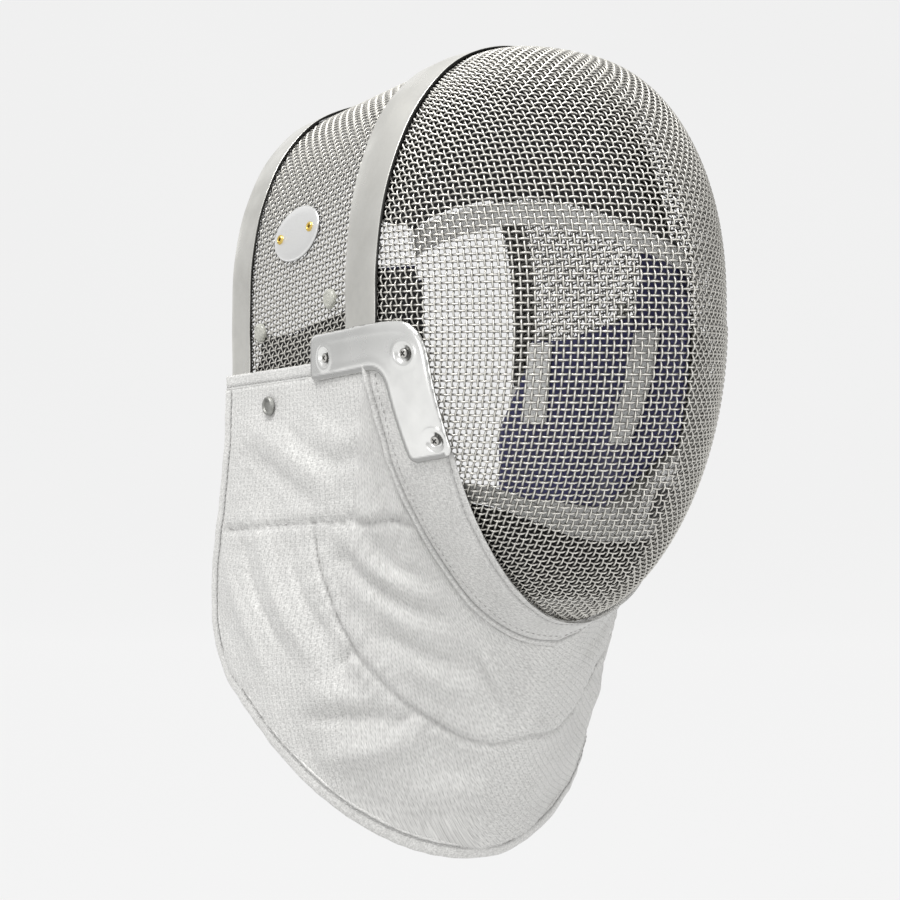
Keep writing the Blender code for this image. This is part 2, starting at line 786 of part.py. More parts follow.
def side_liner(side, group, material):
    """Padded panel inside the mask's side, with a tab that stands up beside the band."""
    ys = [LINER_FRONT_Y, TAB_Y[0] - 0.0015] + steps(TAB_Y[0], TAB_Y[1], 3) + [TAB_Y[1] + 0.0015]
    ys += steps(TAB_Y[1] + 0.014, LINER_REAR_Y, 6)
    grid = []
    for depth in steps(0.0, 1.0, 6):
        row = []
        for y in ys:
            foot = mix(LINER_FOOT_FRONT, LINER_FOOT_REAR, smooth((y - LINER_FRONT_Y) / 0.050))
            z = mix(liner_top(y, side), foot, depth)
            flare = LINER_FLARE * smooth((LINER_TOP_LOW - z) / 0.060) * smooth(y / LINER_REAR_Y)
            row.append(Vector((side * wall_x(y, z), y + flare, z)))
        grid.append(row)
    return skin(f"side_liner_{SIDES[side]}", grid, LINER_FACE, LINER_THICK, group, material)


def pad_edge(x):
    """Lower edge of the forehead pad, an arch from one temple to the other."""
    share = (x / PAD_HALF_WIDTH) ** 2
    return Vector((x, PAD_EDGE_Y - PAD_EDGE_SWEEP * share, PAD_EDGE_Z - PAD_EDGE_DROP * share))


def pad_tops():
    """Upper edge of the forehead pad, just under the mesh."""
    hub = Vector((0, PAD_TOP_Y, CENTRE_Z))
    tops = []
    for angle in steps(PAD_FIRST_ANGLE, 180 - PAD_FIRST_ANGLE, 18):
        tops.append(hub + spoke(angle) * (dome_radius(angle, PAD_TOP_Y) - MESH_THICK - PAD_TOP_GAP))
    return tops


def forehead_pad(group, material):
    """Pad that spans the mask over the brow and reaches up to the mesh."""
    tops = pad_tops()
    grid = []
    for rise in (1.0, 0.8, 0.5, 0.2, 0.0):
        row = []
        for top in tops:
            low = pad_edge(PAD_HALF_WIDTH * top.x / abs(tops[0].x))
            row.append(low.lerp(top, rise))
        grid.append(row)
    return skin("forehead_pad", grid, 0.0, PAD_THICK, group, material)


def forehead_binding(group, material):
    grid = []
    for depth in (0.0, BINDING_DEPTH / 2, BINDING_DEPTH):
        down = depth + BINDING_DROP
        lower = Vector((0, -BINDING_LEAN * down, -down))
        grid.append([pad_edge(x) + lower for x in steps(-PAD_HALF_WIDTH, PAD_HALF_WIDTH, 18)])
    return skin("forehead_binding", grid, 0.0, BINDING_THICK, group, material)


def chin_top(angle):
    return CHIN_TOP + CHIN_RISE * abs(math.cos(math.radians(angle))) ** CHIN_RISE_POWER


def chin_liner(group, material):
    angles = steps(4, 176, 20)
    grid = []
    for w in steps(0, 1, 5):
        grid.append([level_point(a, mix(chin_top(a), CHIN_FOOT, w), CHIN_HUB_Y) for a in angles])
    return skin("chin_liner", grid, LINER_FACE, LINER_THICK, group, material)


def chin_binding(group, material):
    angles = steps(4, 176, 20)
    grid = []
    for height in (0.0, CHIN_BINDING_RISE / 2, CHIN_BINDING_RISE):
        rise = 1.5 * PIECE_GAP + height
        grid.append([level_point(a, chin_top(a) + rise, CHIN_HUB_Y) for a in angles])
    return skin("chin_binding", grid, LINER_FACE, BINDING_THICK, group, material)


def fastening_strip(place, group, material):
    """Flat strip on the liner's inner face, on the wearer's left."""
    centre_y, lean, top, foot = STRIPS[place]
    grid = []
    for z in steps(top, foot, 4):
        y = centre_y + lean * (top - z)
        row = [Vector((wall_x(v, z), v, z)) for v in steps(y - TAPE_WIDTH / 2, y + TAPE_WIDTH / 2, 2)]
        grid.append(row)
    face = LINER_FACE - LINER_THICK - STRIP_GAP
    return skin(f"fastening_strip_{place}", grid, face, TAPE_THICK, group, material)


def main():
    clear_scene()
    group = new_collection(NAME)
    materials = {name: make_material(name) for name in COLOURS}
    face_mesh(group, materials["woven_steel"])
    crown_mesh(group, materials["woven_steel"])
    band("front_band", FRONT_BAND_Y, FRONT_BAND_LEG, group, materials["satin_steel"])
    band("rear_band", REAR_BAND_Y, REAR_BAND_LEG, group, materials["satin_steel"])
    badge(group, materials)
    bib(group, materials["silver_cloth"])
    jaw_strip(group, materials["silver_cloth"])
    hem_binding(group, materials["silver_cloth"])
    forehead_pad(group, materials["black_cloth"])
    forehead_binding(group, materials["grey_binding"])
    chin_liner(group, materials["black_cloth"])
    chin_binding(group, materials["grey_binding"])
    for place in STRIPS:
        fastening_strip(place, group, materials["grey_binding"])
    for side, word in SIDES.items():
        side_plate(f"corner_bracket_{word}", bracket_outline(), BRACKET_SEAT + BRACKET_THICK, BRACKET_THICK,
                   side, group, materials["pressed_steel"])
        for place, (y, z) in SCREW_PLACES.items():
            button(f"bracket_screw_{word}_{place}", y, z, side, BRACKET_SEAT + BRACKET_THICK + SCREW_SEAT,
                   SCREW_RADIUS, SCREW_HEIGHT, group, materials["grey_metal"])
        for place, (y, z) in CLIP_PLACES.items():
            button(f"liner_clip_{word}_{place}", y, z, side, SMALL_SEAT, CLIP_RADIUS, CLIP_HEIGHT, group,
                   materials["clear_plastic"])
        top_binding(side, group, materials["silver_cloth"])
        side_liner(side, group, materials["navy_cloth"])
        button(f"strap_snap_{word}", SNAP_PLACE[0], SNAP_PLACE[1], side, SNAP_SEAT, SNAP_RADIUS,
               SNAP_HEIGHT, group, materials["grey_metal"])


main()
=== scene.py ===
"""A sabre fencing mask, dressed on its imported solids: woven wire, steel, cloth and lining.

Metres, in the frame's axes: +Z up, the wearer looks along -Y, the wearer's right hand is at -X.
"""

import math

import bmesh
import bpy
import numpy as np
from bpy.props import FloatProperty, FloatVectorProperty, IntProperty, PointerProperty
from mathutils import Matrix, Vector


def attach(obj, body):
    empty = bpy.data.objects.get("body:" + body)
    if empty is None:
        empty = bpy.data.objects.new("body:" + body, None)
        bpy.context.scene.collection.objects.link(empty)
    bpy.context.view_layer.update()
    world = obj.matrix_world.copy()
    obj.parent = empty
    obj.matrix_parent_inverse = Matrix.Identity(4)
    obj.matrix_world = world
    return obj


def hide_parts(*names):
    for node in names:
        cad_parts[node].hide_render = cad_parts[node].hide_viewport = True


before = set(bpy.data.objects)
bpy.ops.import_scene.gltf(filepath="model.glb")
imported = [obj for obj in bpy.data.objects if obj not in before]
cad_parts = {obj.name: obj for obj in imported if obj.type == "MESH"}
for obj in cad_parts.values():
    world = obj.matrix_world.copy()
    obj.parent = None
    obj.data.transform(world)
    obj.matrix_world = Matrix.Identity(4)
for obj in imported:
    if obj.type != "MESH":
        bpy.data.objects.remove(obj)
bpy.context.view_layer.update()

bl_info = {
    "name": "Fencing mask",
    "version": (1, 0, 0),
    "blender": (4, 5, 0),
    "location": "View3D > Sidebar > Mask",
    "description": "Builds the woven wire, steel, cloth and lining of a fencing mask on its solids",
    "category": "Object",
}

# Dome of the face mesh, as in the solids.
CENTRE_Y = -0.060
CENTRE_Z = -0.1187
DOME_HALF_WIDTH = 0.0900
DOME_REACH = 0.1130
DOME_RISE = 0.1265
DOME_DROP = 0.139
TOP_SQUARENESS = 2.60
TOP_ROUNDNESS = 1.842
CHIN_SQUARENESS = 2.09
CHIN_ROUNDNESS = 1.87
CREASE = 0.027
CREASE_FADE = 3.24
TOP_LEAN = 0.011
CHIN_LEAN = 0.015
FACE_REAR_Y = -0.0560
JAW_Y = -0.0975
JAW_START = 4.0
JAW_TURN = 16.0

# Crown, as in the solids.
CROWN_FRONT_Y = -0.0545
CROWN_REAR_Y = 0.0600
CROWN_FRONT_RISE = 0.1262
CROWN_REAR_RISE = 0.1158
CROWN_FRONT_WIDTH = 0.0898
CROWN_REAR_WIDTH = 0.0908
CROWN_FRONT_SQUARENESS = 2.60
CROWN_REAR_SQUARENESS = 2.45
CROWN_ROW_RISE = math.tan(math.radians(4.1))
MESH_DEPTH = 0.0020

FRONT_BAND_Y = (-0.0678, -0.0446)
REAR_BAND_Y = (0.0423, 0.0606)
FRONT_BAND_FOOT = -0.1395
REAR_BAND_FOOT = -0.1474
# The thin lip under each band's edges carries painted shade: it is drawn near black as the gap under the
# band.
BAND_SHADE_LIP = 0.0003
BAND_HUG = 0.0100

# Places on the mask's side, as (y, z).
SCREW_PLACES = {"rear": (-0.0315, -0.1337), "corner": (-0.0862, -0.1321), "foot": (-0.0955, -0.1680)}
BADGE_PLACE = (0.0030, -0.0752)
BADGE_HALF_SIZE = (0.0200, 0.0128)
BADGE_TILT = math.radians(-9.0)
EYELET_SPREAD = 0.0132
CLIP_PLACES = {"front": (-0.0310, -0.1072), "rear": (0.0326, -0.1210)}
SNAP_PLACE = (0.0184, -0.1564)
BRACKET_REAR = -0.0190
BRACKET_FRONT = -0.0990
BRACKET_TOP = -0.1180
BRACKET_SLOPE = -0.080
BRACKET_WIDTH = 0.0212
BRACKET_FOOT = -0.1775
BRACKET_CORNER = 0.0050
BRACKET_ELBOW = 0.0170
BRACKET_CROOK = 0.0085
BRACKET_SEAT = 0.0033
BRACKET_THICK = 0.0014
RIVET_RADIUS = 0.0021

# Cloth, as in the solids.
TRIM_DEPTH = 0.0075
TRIM_THICK = 0.0018
TRIM_TOP = -0.1360
TRIM_TOP_Y = -0.0187
TRIM_SLOPE = -0.077
TRIM_FRONT_Y = -0.0400
CLOTH_SEAT = 0.0005
REAR_BAND_CLEARANCE = 0.0016
STRIP_THICK = 0.0018
STRIP_FRONT_Y = -0.1010
STRIP_SINK = 0.0018
STRIP_TUCK = 0.0050
BIB_THICK = 0.0030
BIB_REAR_Y = 0.0635
BIB_FRONT_Y = -0.0605
HEM_HALF_WIDTH = 0.1004
HEM_FRONT_Y = -0.0394
HEM_RUN = 0.0930
HEM_SQUARENESS = 2.5
HEM_LOW = -0.3795
HEM_HIGH = -0.2960
HEM_CURVE = 1.51
HEM_TILT = 0.0155
REAR_EDGE_SWELL = 0.125
SIDE_SHARE = 0.50
HEM_DEPTH = 0.0084
HEM_THICK = 0.0054
SEAM = (
    (13.6, 0.0955, -0.0605),
    (27.7, 0.0975, -0.0630),
    (38.1, 0.1026, -0.0640),
    (51.8, 0.1120, -0.0660),
    (61.8, 0.1210, -0.0680),
    (72.7, 0.1350, -0.0715),
    (80.9, 0.1450, -0.0765),
    (90.0, 0.1500, -0.0805),
)
BELLY = (
    (0.00, 0.0010, 0.0000),
    (0.20, 0.0035, 0.0000),
    (0.45, 0.0030, 0.0000),
    (0.70, 0.0005, 0.0000),
    (1.00, 0.0000, 0.0010),
)

# Lining, as in the solids.
LINER_FACE = -0.0034
LINER_THICK = 0.0030
LINER_TOP = -0.1130
LINER_TOP_Y = -0.0331
LINER_SLOPE = -0.213
LINER_TOP_LOW = -0.1225
LINER_FOOT_FRONT = -0.1780
LINER_FOOT_REAR = -0.2130
LINER_FLARE = 0.0290
LINER_FRONT_Y = -0.0905
LINER_REAR_Y = 0.0390
TAB_Y = {-1: (-0.0855, -0.0500), 1: (-0.0850, -0.0500)}
TAB_TOPS = {-1: -0.0950, 1: -0.0760}
PAD_HALF_WIDTH = 0.0750
PAD_REACH = 0.0815
TAPE_REACH = 0.0825
PAD_EDGE_Z = -0.0600
PAD_EDGE_DROP = 0.0155
PAD_EDGE_Y = -0.0730
PAD_EDGE_SWEEP = 0.0090
PAD_TOP_Y = -0.0575
PAD_TOP_GAP = 0.0011
PAD_FIRST_ANGLE = 28.0
PAD_THICK = 0.0060
BINDING_DEPTH = 0.0110
BINDING_LEAN = 0.26
BINDING_DROP = 0.0016
BINDING_THICK = 0.0036
CHIN_TOP = -0.2145
CHIN_RISE = 0.0165
CHIN_RISE_POWER = 4.7
CHIN_FOOT = -0.2430
CHIN_HUB_Y = -0.0960
CHIN_BINDING_RISE = 0.0085
TAPE_WIDTH = 0.0200
TAPE_THICK = 0.0012
STRIPS = {"rear": (0.0270, 0.11, -0.1235, -0.1690), "front": (-0.0580, 0.20, -0.1180, -0.1790)}

SIDES = {-1: "right", 1: "left"}

# Woven mesh: how it is laid over the dome, and how far its middle lies under the solid's face.
NET_LEVEL = CENTRE_Z + 0.030
NET_REAR_Y = -0.035
NET_COLUMNS = 56
NET_UPPER_ROWS = 62
NET_LOWER_ROWS = 66
WEAVE_SINK = 0.00112
WIRE_SIDES = 4
WIRE_CROSSING = 0.95

# Sewn lines on the bib, as (share, drop).
LEVEL_SEAM = ((0.015, 0.470), (0.200, 0.387), (0.360, 0.340), (0.530, 0.287), (0.745, 0.020))
QUILT_SEAM = (
    (0.357, 0.345),
    (0.380, 0.423),
    (0.422, 0.490),
    (0.480, 0.560),
    (0.540, 0.580),
    (0.640, 0.573),
    (0.758, 0.550),
    (0.880, 0.507),
    (0.948, 0.460),
    (1.000, 0.412),
)
# Soft folds of the bib: height, half-width, then places as (share, drop).
FOLDS = (
    (-0.0016, 0.0030, ((0.09, 0.44), (0.13, 0.57), (0.19, 0.65), (0.30, 0.71))),
    (0.0022, 0.0065, ((0.16, 0.41), (0.21, 0.53), (0.31, 0.62), (0.43, 0.68))),
    (0.0015, 0.0060, ((0.04, 0.50), (0.07, 0.62), (0.14, 0.74), (0.26, 0.82))),
    (-0.0012, 0.0035, ((0.28, 0.39), (0.31, 0.49), (0.37, 0.56), (0.46, 0.62))),
    (0.0024, 0.0060, ((0.41, 0.37), (0.58, 0.34), (0.74, 0.21), (0.83, 0.12))),
    (0.0020, 0.0058, ((0.46, 0.47), (0.62, 0.39), (0.77, 0.28), (0.87, 0.17))),
    (-0.0020, 0.0036, ((0.44, 0.42), (0.61, 0.36), (0.76, 0.24), (0.85, 0.13))),
    (-0.0014, 0.0032, ((0.52, 0.30), (0.66, 0.24), (0.76, 0.14), (0.83, 0.04))),
    (-0.0016, 0.0034, ((0.57, 0.52), (0.68, 0.42), (0.80, 0.33), (0.90, 0.22))),
    (0.0016, 0.0060, ((0.62, 0.52), (0.74, 0.44), (0.84, 0.36), (0.92, 0.27))),
    (-0.0022, 0.0036, ((0.34, 0.84), (0.50, 0.76), (0.62, 0.68), (0.72, 0.59))),
    (0.0024, 0.0070, ((0.40, 0.92), (0.56, 0.81), (0.68, 0.71), (0.79, 0.62))),
    (0.0018, 0.0065, ((0.36, 0.76), (0.47, 0.72), (0.55, 0.69), (0.62, 0.62))),
    (-0.0016, 0.0026, ((0.46, 0.67), (0.50, 0.62), (0.55, 0.57))),
    (-0.0018, 0.0026, ((0.65, 0.69), (0.71, 0.62), (0.77, 0.54))),
    (-0.0011, 0.0022, ((0.96, 0.03), (0.98, 0.10), (1.00, 0.17))),
    (-0.0012, 0.0024, ((0.92, 0.08), (0.96, 0.19), (0.99, 0.31))),
    (-0.0012, 0.0026, ((0.88, 0.14), (0.92, 0.25), (0.95, 0.37))),
    (0.0012, 0.0040, ((0.90, 0.11), (0.94, 0.22), (0.97, 0.34))),
    (0.0014, 0.0070, ((0.08, 0.11), (0.26, 0.19), (0.44, 0.27))),
    (-0.0010, 0.0045, ((0.06, 0.19), (0.22, 0.25), (0.38, 0.31))),
    (0.0013, 0.0060, ((0.27, 0.05), (0.42, 0.14), (0.60, 0.10))),
    (-0.0010, 0.0040, ((0.20, 0.09), (0.38, 0.19), (0.56, 0.16))),
    (0.0012, 0.0060, ((0.70, 0.84), (0.82, 0.76), (0.96, 0.66))),
    (-0.0011, 0.0045, ((0.72, 0.92), (0.86, 0.84), (1.00, 0.76))),
)

FOLD_SIDES = {-1: 1.0, 1: 0.45}
BIB_EDGE_SHARE = 0.010
BIB_TOP_DROP = -0.005
BIB_FOOT_DROP = 0.985
STRIP_TOP_EASE = 2.5
STRIP_LINE = 0.0035
PIPING_WIDTH = 0.0032
TRIM_STITCH = 0.0056
HEM_STITCH = 0.0066
HEM_ROUND = 32

# The thin dashed lines drawn in the silver cloth.
LINE_PITCH = 0.0034
DASH_PITCH = 0.0021

# How a padded panel thins towards its edge, as shares of its thickness.
PILLOW_RIM = 0.12
PILLOW_SINK = 0.06

# The bib's quilting: banks beside its seams, puckers along them, and the painted shade in them.
BANK_SHARE = 0.45
BANK_WIDTH = 0.0042
PUCKER_LENGTH = 0.0105
PUCKER_DRIFT = 0.047
PUCKER_HEIGHT = 0.00050
PUCKER_REACH = 0.0075
PUCKER_START = 0.0025
SEAM_SHADE = 0.0011

# The relief pressed into the brackets, by distance from the edge or from a rivet.
EDGE_ROLL_DROP = 0.0010
EDGE_ROLL_WIDTH = 0.0016
EDGE_RIDGE = 0.00012
EDGE_RIDGE_PLACE = 0.0036
EDGE_RIDGE_WIDTH = 0.0016
DIMPLE_DEPTH = 0.0012
DIMPLE_RADIUS = 0.0024
DIMPLE_SLOPE = 0.0022
DIMPLE_RIM = 0.00040
DIMPLE_RIM_RADIUS = 0.0051
DIMPLE_RIM_WIDTH = 0.0009
# Painted shade along the brackets' turned edges, by distance from the edge.
SHADE_START = 0.0019
SHADE_FADE = 0.0009

# The rivets' heads and the cross in each.
RIVET_SIDES = 48
RIVET_HEIGHT = 0.0014
RIVET_DOME = 0.0007
CROSS_HALF_WIDTH = 0.00040
CROSS_REACH = 0.0013
CROSS_DEPTH = 0.0006
RIVET_SINK = 0.0011

# Turned pieces: their seats on the mask's side, and profiles of (radius, height).
PLATE_SEAT = 0.0004
BADGE_FACET = 0.0007
EYELET_SEAT = 0.0016
CLIP_SEAT = 0.0003
SNAP_SEAT = 0.0044
EYELET_PROFILE = (
    (0.00235, 0.0), (0.00235, 0.0002), (0.00215, 0.0006), (0.0018, 0.0008), (0.0014, 0.00065),
    (0.0012, 0.0003), (0.0012, 0.0),
)
CLIP_PROFILE = (
    (0.0, 0.0024), (0.0014, 0.0024), (0.0021, 0.0021), (0.0027, 0.0023), (0.0036, 0.0021),
    (0.0043, 0.0016), (0.0046, 0.0009), (0.0046, 0.0), (0.0, 0.0),
)
SNAP_PROFILE = (
    (0.0, 0.0013), (0.0014, 0.0013), (0.0019, 0.0009), (0.0029, 0.0009), (0.0034, 0.0016),
    (0.0041, 0.0016), (0.0045, 0.0010), (0.0046, 0.0), (0.0, 0.0),
)

# The photograph's viewpoint, and the room round the mask.
CAMERA_PLACE = Vector((-0.4158, -0.5599, -0.1407))
CAMERA_AHEAD = (0.59498, 0.80178, -0.05610)
CAMERA_LENS = 54.6
CAMERA_SENSOR = 36.0
STAGE_FLOOR_Z = -0.80
STAGE_AIM = (0.0, 0.0, -0.18)
KEY_PLACE = (-0.95, -0.35, 1.45)
FILL_PLACE = (0.2, -2.0, 0.1)
TOP_PLACE = (0.1, 0.2, 1.6)
SIDE_PLACE = (-1.70, -0.45, -0.05)
BRIGHT_WAY = (-0.70, -0.05, 0.71)


# ---------------------------------------------------------------- numbers and curves


def smooth(share):
    share = np.clip(share, 0.0, 1.0)
    return share * share * (3 - 2 * share)


def mix(a, b, share):
    return a + (b - a) * share


def unit(v):
    return v / np.maximum(np.linalg.norm(v, axis=-1, keepdims=True), 1e-12)


def hump(distance, width):
    """A bell curve, 1 at distance 0."""
    return np.exp(-((distance / width) ** 2))


def run_along(line):
    """Distance of each point of a line from its first one, measured along it."""
    return np.concatenate([[0], np.cumsum(np.linalg.norm(np.diff(line, axis=0), axis=1))])


def run_down(grid):
    """Distance of each point of a grid from the first row, measured down its column."""
    steps = np.linalg.norm(np.diff(grid, axis=0), axis=2)
    return np.concatenate([np.zeros((1, grid.shape[1])), np.cumsum(steps, 0)], 0)


def read_table(rows, value):
    """Each column at `value` of the first, on a smooth curve through the rows."""
    table = np.array(rows)
    knots = table[:, 0]
    slopes = np.empty_like(table)
    slopes[1:-1] = (table[2:] - table[:-2]) / (knots[2:] - knots[:-2])[:, None]
    slopes[0] = (table[1] - table[0]) / (knots[1] - knots[0])
    slopes[-1] = (table[-1] - table[-2]) / (knots[-1] - knots[-2])
    value = np.asarray(value, float)
    k = np.clip(np.searchsorted(knots, value, side="right") - 1, 0, len(knots) - 2)
    span = (knots[k + 1] - knots[k])[..., None]
    t = np.clip((value - knots[k]) / (knots[k + 1] - knots[k]), 0, 1)[..., None]
    result = (
        (2 * t ** 3 - 3 * t ** 2 + 1) * table[k] + (t ** 3 - 2 * t ** 2 + t) * slopes[k] * span
        + (3 * t ** 2 - 2 * t ** 3) * table[k + 1] + (t ** 3 - t ** 2) * slopes[k + 1] * span
    )
    return [result[..., column] for column in range(1, table.shape[1])]


def ripple(u, v, seed, count=7):
    """A smooth field of about -1 to 1 from a few waves; u and v are in waves across the piece."""
    rng = np.random.default_rng(seed)
    total = np.zeros(np.broadcast(u, v).shape)
    for _ in range(count):
        a, b = rng.uniform(-1, 1, 2)
        total = total + np.sin(math.tau * (a * u + b * v) + rng.uniform(0, math.tau))
    return total / math.sqrt(count / 2) / 1.6


# ---------------------------------------------------------------- the mask's surfaces


def dome_field(p):
    """Below zero inside the dome, above zero outside it."""
    height = p[..., 2] - CENTRE_Z
    upper = height > 0
    level = np.where(upper, height / DOME_RISE, -height / DOME_DROP)
    lean = np.where(upper, TOP_LEAN * level ** 3, CHIN_LEAN * level ** 2)
    square = np.where(upper, TOP_SQUARENESS, CHIN_SQUARENESS)
    rounding = np.where(upper, TOP_ROUNDNESS, CHIN_ROUNDNESS)
    crease = CREASE * np.clip(1 - level ** CREASE_FADE, 0, 1)
    across = (np.abs(p[..., 0]) + crease) / (DOME_HALF_WIDTH + crease)
    section = (across ** square + level ** square) ** (rounding / square)
    ahead = np.maximum(CENTRE_Y - lean - p[..., 1], 0)
    return section + (ahead / DOME_REACH) ** rounding - 1


def dome_slope(p, step=1e-6):
    """The field's gradient."""
    slope = np.empty_like(p)
    for axis in range(3):
        shift = np.zeros(3)
        shift[axis] = step
        slope[..., axis] = (dome_field(p + shift) - dome_field(p - shift)) / (2 * step)
    return slope


def dome_hit(start, way):
    """The dome's outer face, met from starts inside it."""
    start, way = np.broadcast_arrays(np.asarray(start, float), np.asarray(way, float))
    low = np.zeros(start.shape[:-1])
    high = np.full(start.shape[:-1], 0.25)
    for _ in range(40):
        middle = (low + high) / 2
        inside = dome_field(start + way * middle[..., None]) < 0
        low = np.where(inside, middle, low)
        high = np.where(inside, high, middle)
    return start + way * low[..., None]


def places(x, y, z):
    return np.stack(np.broadcast_arrays(x, y, z), -1).astype(float)


def spoke(angle):
    """Direction round the long axis, in degrees from the wearer's right over the top."""
    turn = np.radians(angle)
    return places(-np.cos(turn), 0.0, np.sin(turn))


def dome_spoke_point(angle, y):
    return dome_hit(places(0.0, y, np.broadcast_to(CENTRE_Z, np.shape(y))), spoke(angle))


def level_point(turn, z, hub_y):
    """The dome at one height, round an upright axis from the wearer's right over the front."""
    angle = np.radians(turn)
    return dome_hit(places(0.0, hub_y, z), places(-np.cos(angle), -np.sin(angle), 0.0))


def crown_share(y):
    return (y - CROWN_FRONT_Y) / (CROWN_REAR_Y - CROWN_FRONT_Y)


def crown_width(y):
    return mix(CROWN_FRONT_WIDTH, CROWN_REAR_WIDTH, crown_share(y))


def crown_section(y, count=700):
    """The crown's arch at one y, from the top down the wearer's left: run along it, x and z."""
    share = crown_share(y)
    rise = mix(CROWN_FRONT_RISE, CROWN_REAR_RISE, share)
    square = mix(CROWN_FRONT_SQUARENESS, CROWN_REAR_SQUARENESS, share)
    turn = np.linspace(math.pi / 2, 0, count)
    c, s = np.cos(turn), np.sin(turn)
    width = crown_width(y)
    radius = ((np.abs(c) / width) ** square + (s / rise) ** square) ** (-1 / square)
    x = np.append(radius * c, width)
    z = np.append(CENTRE_Z + radius * s, CENTRE_Z - 0.05)
    run = np.concatenate([[0], np.cumsum(np.hypot(np.diff(x), np.diff(z)))])
    return run, x, z


def crown_point(run, y):
    """Outer face of the crown; run is the distance from the top, below zero on the wearer's right."""
    runs, x, z = crown_section(y)
    side = np.where(np.asarray(run) < 0, -1.0, 1.0)
    along = np.abs(run)
    return places(side * np.interp(along, runs, x), y, np.interp(along, runs, z))


def side_x(y, z):
    """Half-width of the mask's side at places of the side view."""
    y, z = np.broadcast_arrays(np.asarray(y, float), np.asarray(z, float))
    ahead = dome_hit(places(0.0, np.minimum(y, CENTRE_Y), z), np.array([1.0, 0, 0]))[..., 0]
    share = crown_share(y)
    rise = mix(CROWN_FRONT_RISE, CROWN_REAR_RISE, share)
    square = mix(CROWN_FRONT_SQUARENESS, CROWN_REAR_SQUARENESS, share)
    level = np.clip((z - CENTRE_Z) / rise, 0, 0.999)
    behind = crown_width(y) * (1 - level ** square) ** (1 / square)
    return np.where(y < CENTRE_Y, ahead, behind)


def wall_x(y, z):
    """Half-width of the wall that the lining lies on: the dome in front, the crown's legs behind."""
    y, z = np.broadcast_arrays(np.asarray(y, float), np.asarray(z, float))
    ahead = side_x(np.minimum(y, CENTRE_Y - 0.0001), z)
    blended = mix(ahead, crown_width(y), smooth((y - CENTRE_Y) / 0.045))
    return np.where((z < CENTRE_Z) & (y > CENTRE_Y), blended, side_x(y, z))


def side_frame(y, z, side, height):
    """Place and outward direction on the mask's side, `height` above it."""
    step = 0.0020
    slope_y = (wall_x(y + step, z) - wall_x(y - step, z)) / (2 * step)
    slope_z = (wall_x(y, z + step) - wall_x(y, z - step)) / (2 * step)
    normal = unit(places(1.0, -slope_y, -slope_z))
    place = places(wall_x(y, z), y, z) + normal * np.asarray(height)[..., None]
    flip = np.array([side, 1.0, 1.0])
    return place * flip, normal * flip


def trim_top(y):
    return TRIM_TOP + TRIM_SLOPE * (y - TRIM_TOP_Y)


def trim_lift(y):
    return CLOTH_SEAT + REAR_BAND_CLEARANCE * np.clip((y + 0.010) / 0.045, 0, 1)


def seam_point(angle):
    radius, y = read_table(SEAM, angle)
    return places(0.0, y, CENTRE_Z) + spoke(-np.asarray(angle)) * radius[..., None]


def strip_point(angle, across):
    """Outer side of the mesh under the jaw strip, easing away from it towards the bib's seam."""
    angle, across = np.broadcast_arrays(np.asarray(angle, float), np.asarray(across, float))
    seam = seam_point(angle)
    front = STRIP_FRONT_Y + STRIP_TUCK * smooth((38.0 - angle) / 9.0)
    y = mix(front, seam[..., 1], across)
    on_dome = dome_spoke_point(-angle, y)
    dome_end = dome_spoke_point(-angle, seam[..., 1])
    ease = across[..., None]
    return on_dome + (seam - dome_end) * ease ** 3 - spoke(-angle) * STRIP_SINK * ease ** 2


def bib_top(share):
    """Upper edge of the bib: level below the side mesh, then down the seam to the chin."""
    back = np.clip(share / SIDE_SHARE, -0.1, 1)
    y = mix(BIB_REAR_Y, BIB_FRONT_Y, back)
    side = places(-(crown_width(y) + trim_lift(y) + TRIM_THICK), y, trim_top(y) - TRIM_DEPTH - 0.0004)
    seam = seam_point(mix(SEAM[0][0], SEAM[-1][0], np.clip((share - SIDE_SHARE) / (1 - SIDE_SHARE), 0, 1)))
    return np.where((share <= SIDE_SHARE)[..., None], side, seam)


def hem_point(share):
    turn = (1 - share) * math.pi / 2
    power = 2 / HEM_SQUARENESS
    x = -HEM_HALF_WIDTH * np.sign(turn) * np.abs(np.sin(turn)) ** power
    y = HEM_FRONT_Y + HEM_RUN * (1 - np.maximum(np.cos(turn), 0) ** power)
    z = mix(HEM_LOW, HEM_HIGH, np.abs(1 - share) ** HEM_CURVE)
    return places(x, y, z)


def bib_point(share, drop, side=-1):
    """The bib's outer face; share runs from the rear edge to the middle, drop down to the hem."""
    share, drop = np.broadcast_arrays(np.asarray(share, float), np.asarray(drop, float))
    top, hem = bib_top(share), hem_point(share)
    place = mix(top, hem, drop[..., None])
    out, forward = read_table(BELLY, share)
    swell = 6.75 * drop ** 2 * (1 - drop)
    rear = np.clip(1 - share / 0.16, 0, 1)
    place[..., 0] -= out * swell
    rear_swell = REAR_EDGE_SWELL * np.maximum(drop, 0) ** 2.6 * (1 - drop) * rear ** 1.5
    place[..., 1] += rear_swell - forward * swell
    if side > 0:
        place[..., 0] = -place[..., 0]
        place[..., 2] += HEM_TILT * drop * np.sin(np.clip(1 - share, 0, 1) * math.pi / 2)
    return place


# ---------------------------------------------------------------- meshes


def outward(piece):
    """Turns the faces outwards, by the sign of the volume."""
    mesh = piece.data
    mesh.calc_loop_triangles()
    corners = np.empty(len(mesh.loop_triangles) * 3, int)
    mesh.loop_triangles.foreach_get("vertices", corners)
    points = np.empty(len(mesh.vertices) * 3)
    mesh.vertices.foreach_get("co", points)
    a, b, c = points.reshape(-1, 3)[corners.reshape(-1, 3)].transpose(1, 0, 2)
    if np.einsum("ij,ij->", a, np.cross(b, c)) < 0:
        mesh.flip_normals()
    return piece


def grid_quads(index):
    """The four corners of each cell of a grid of point numbers."""
    return np.stack([index[:-1, :-1], index[:-1, 1:], index[1:, 1:], index[1:, :-1]], -1).reshape(-1, 4)


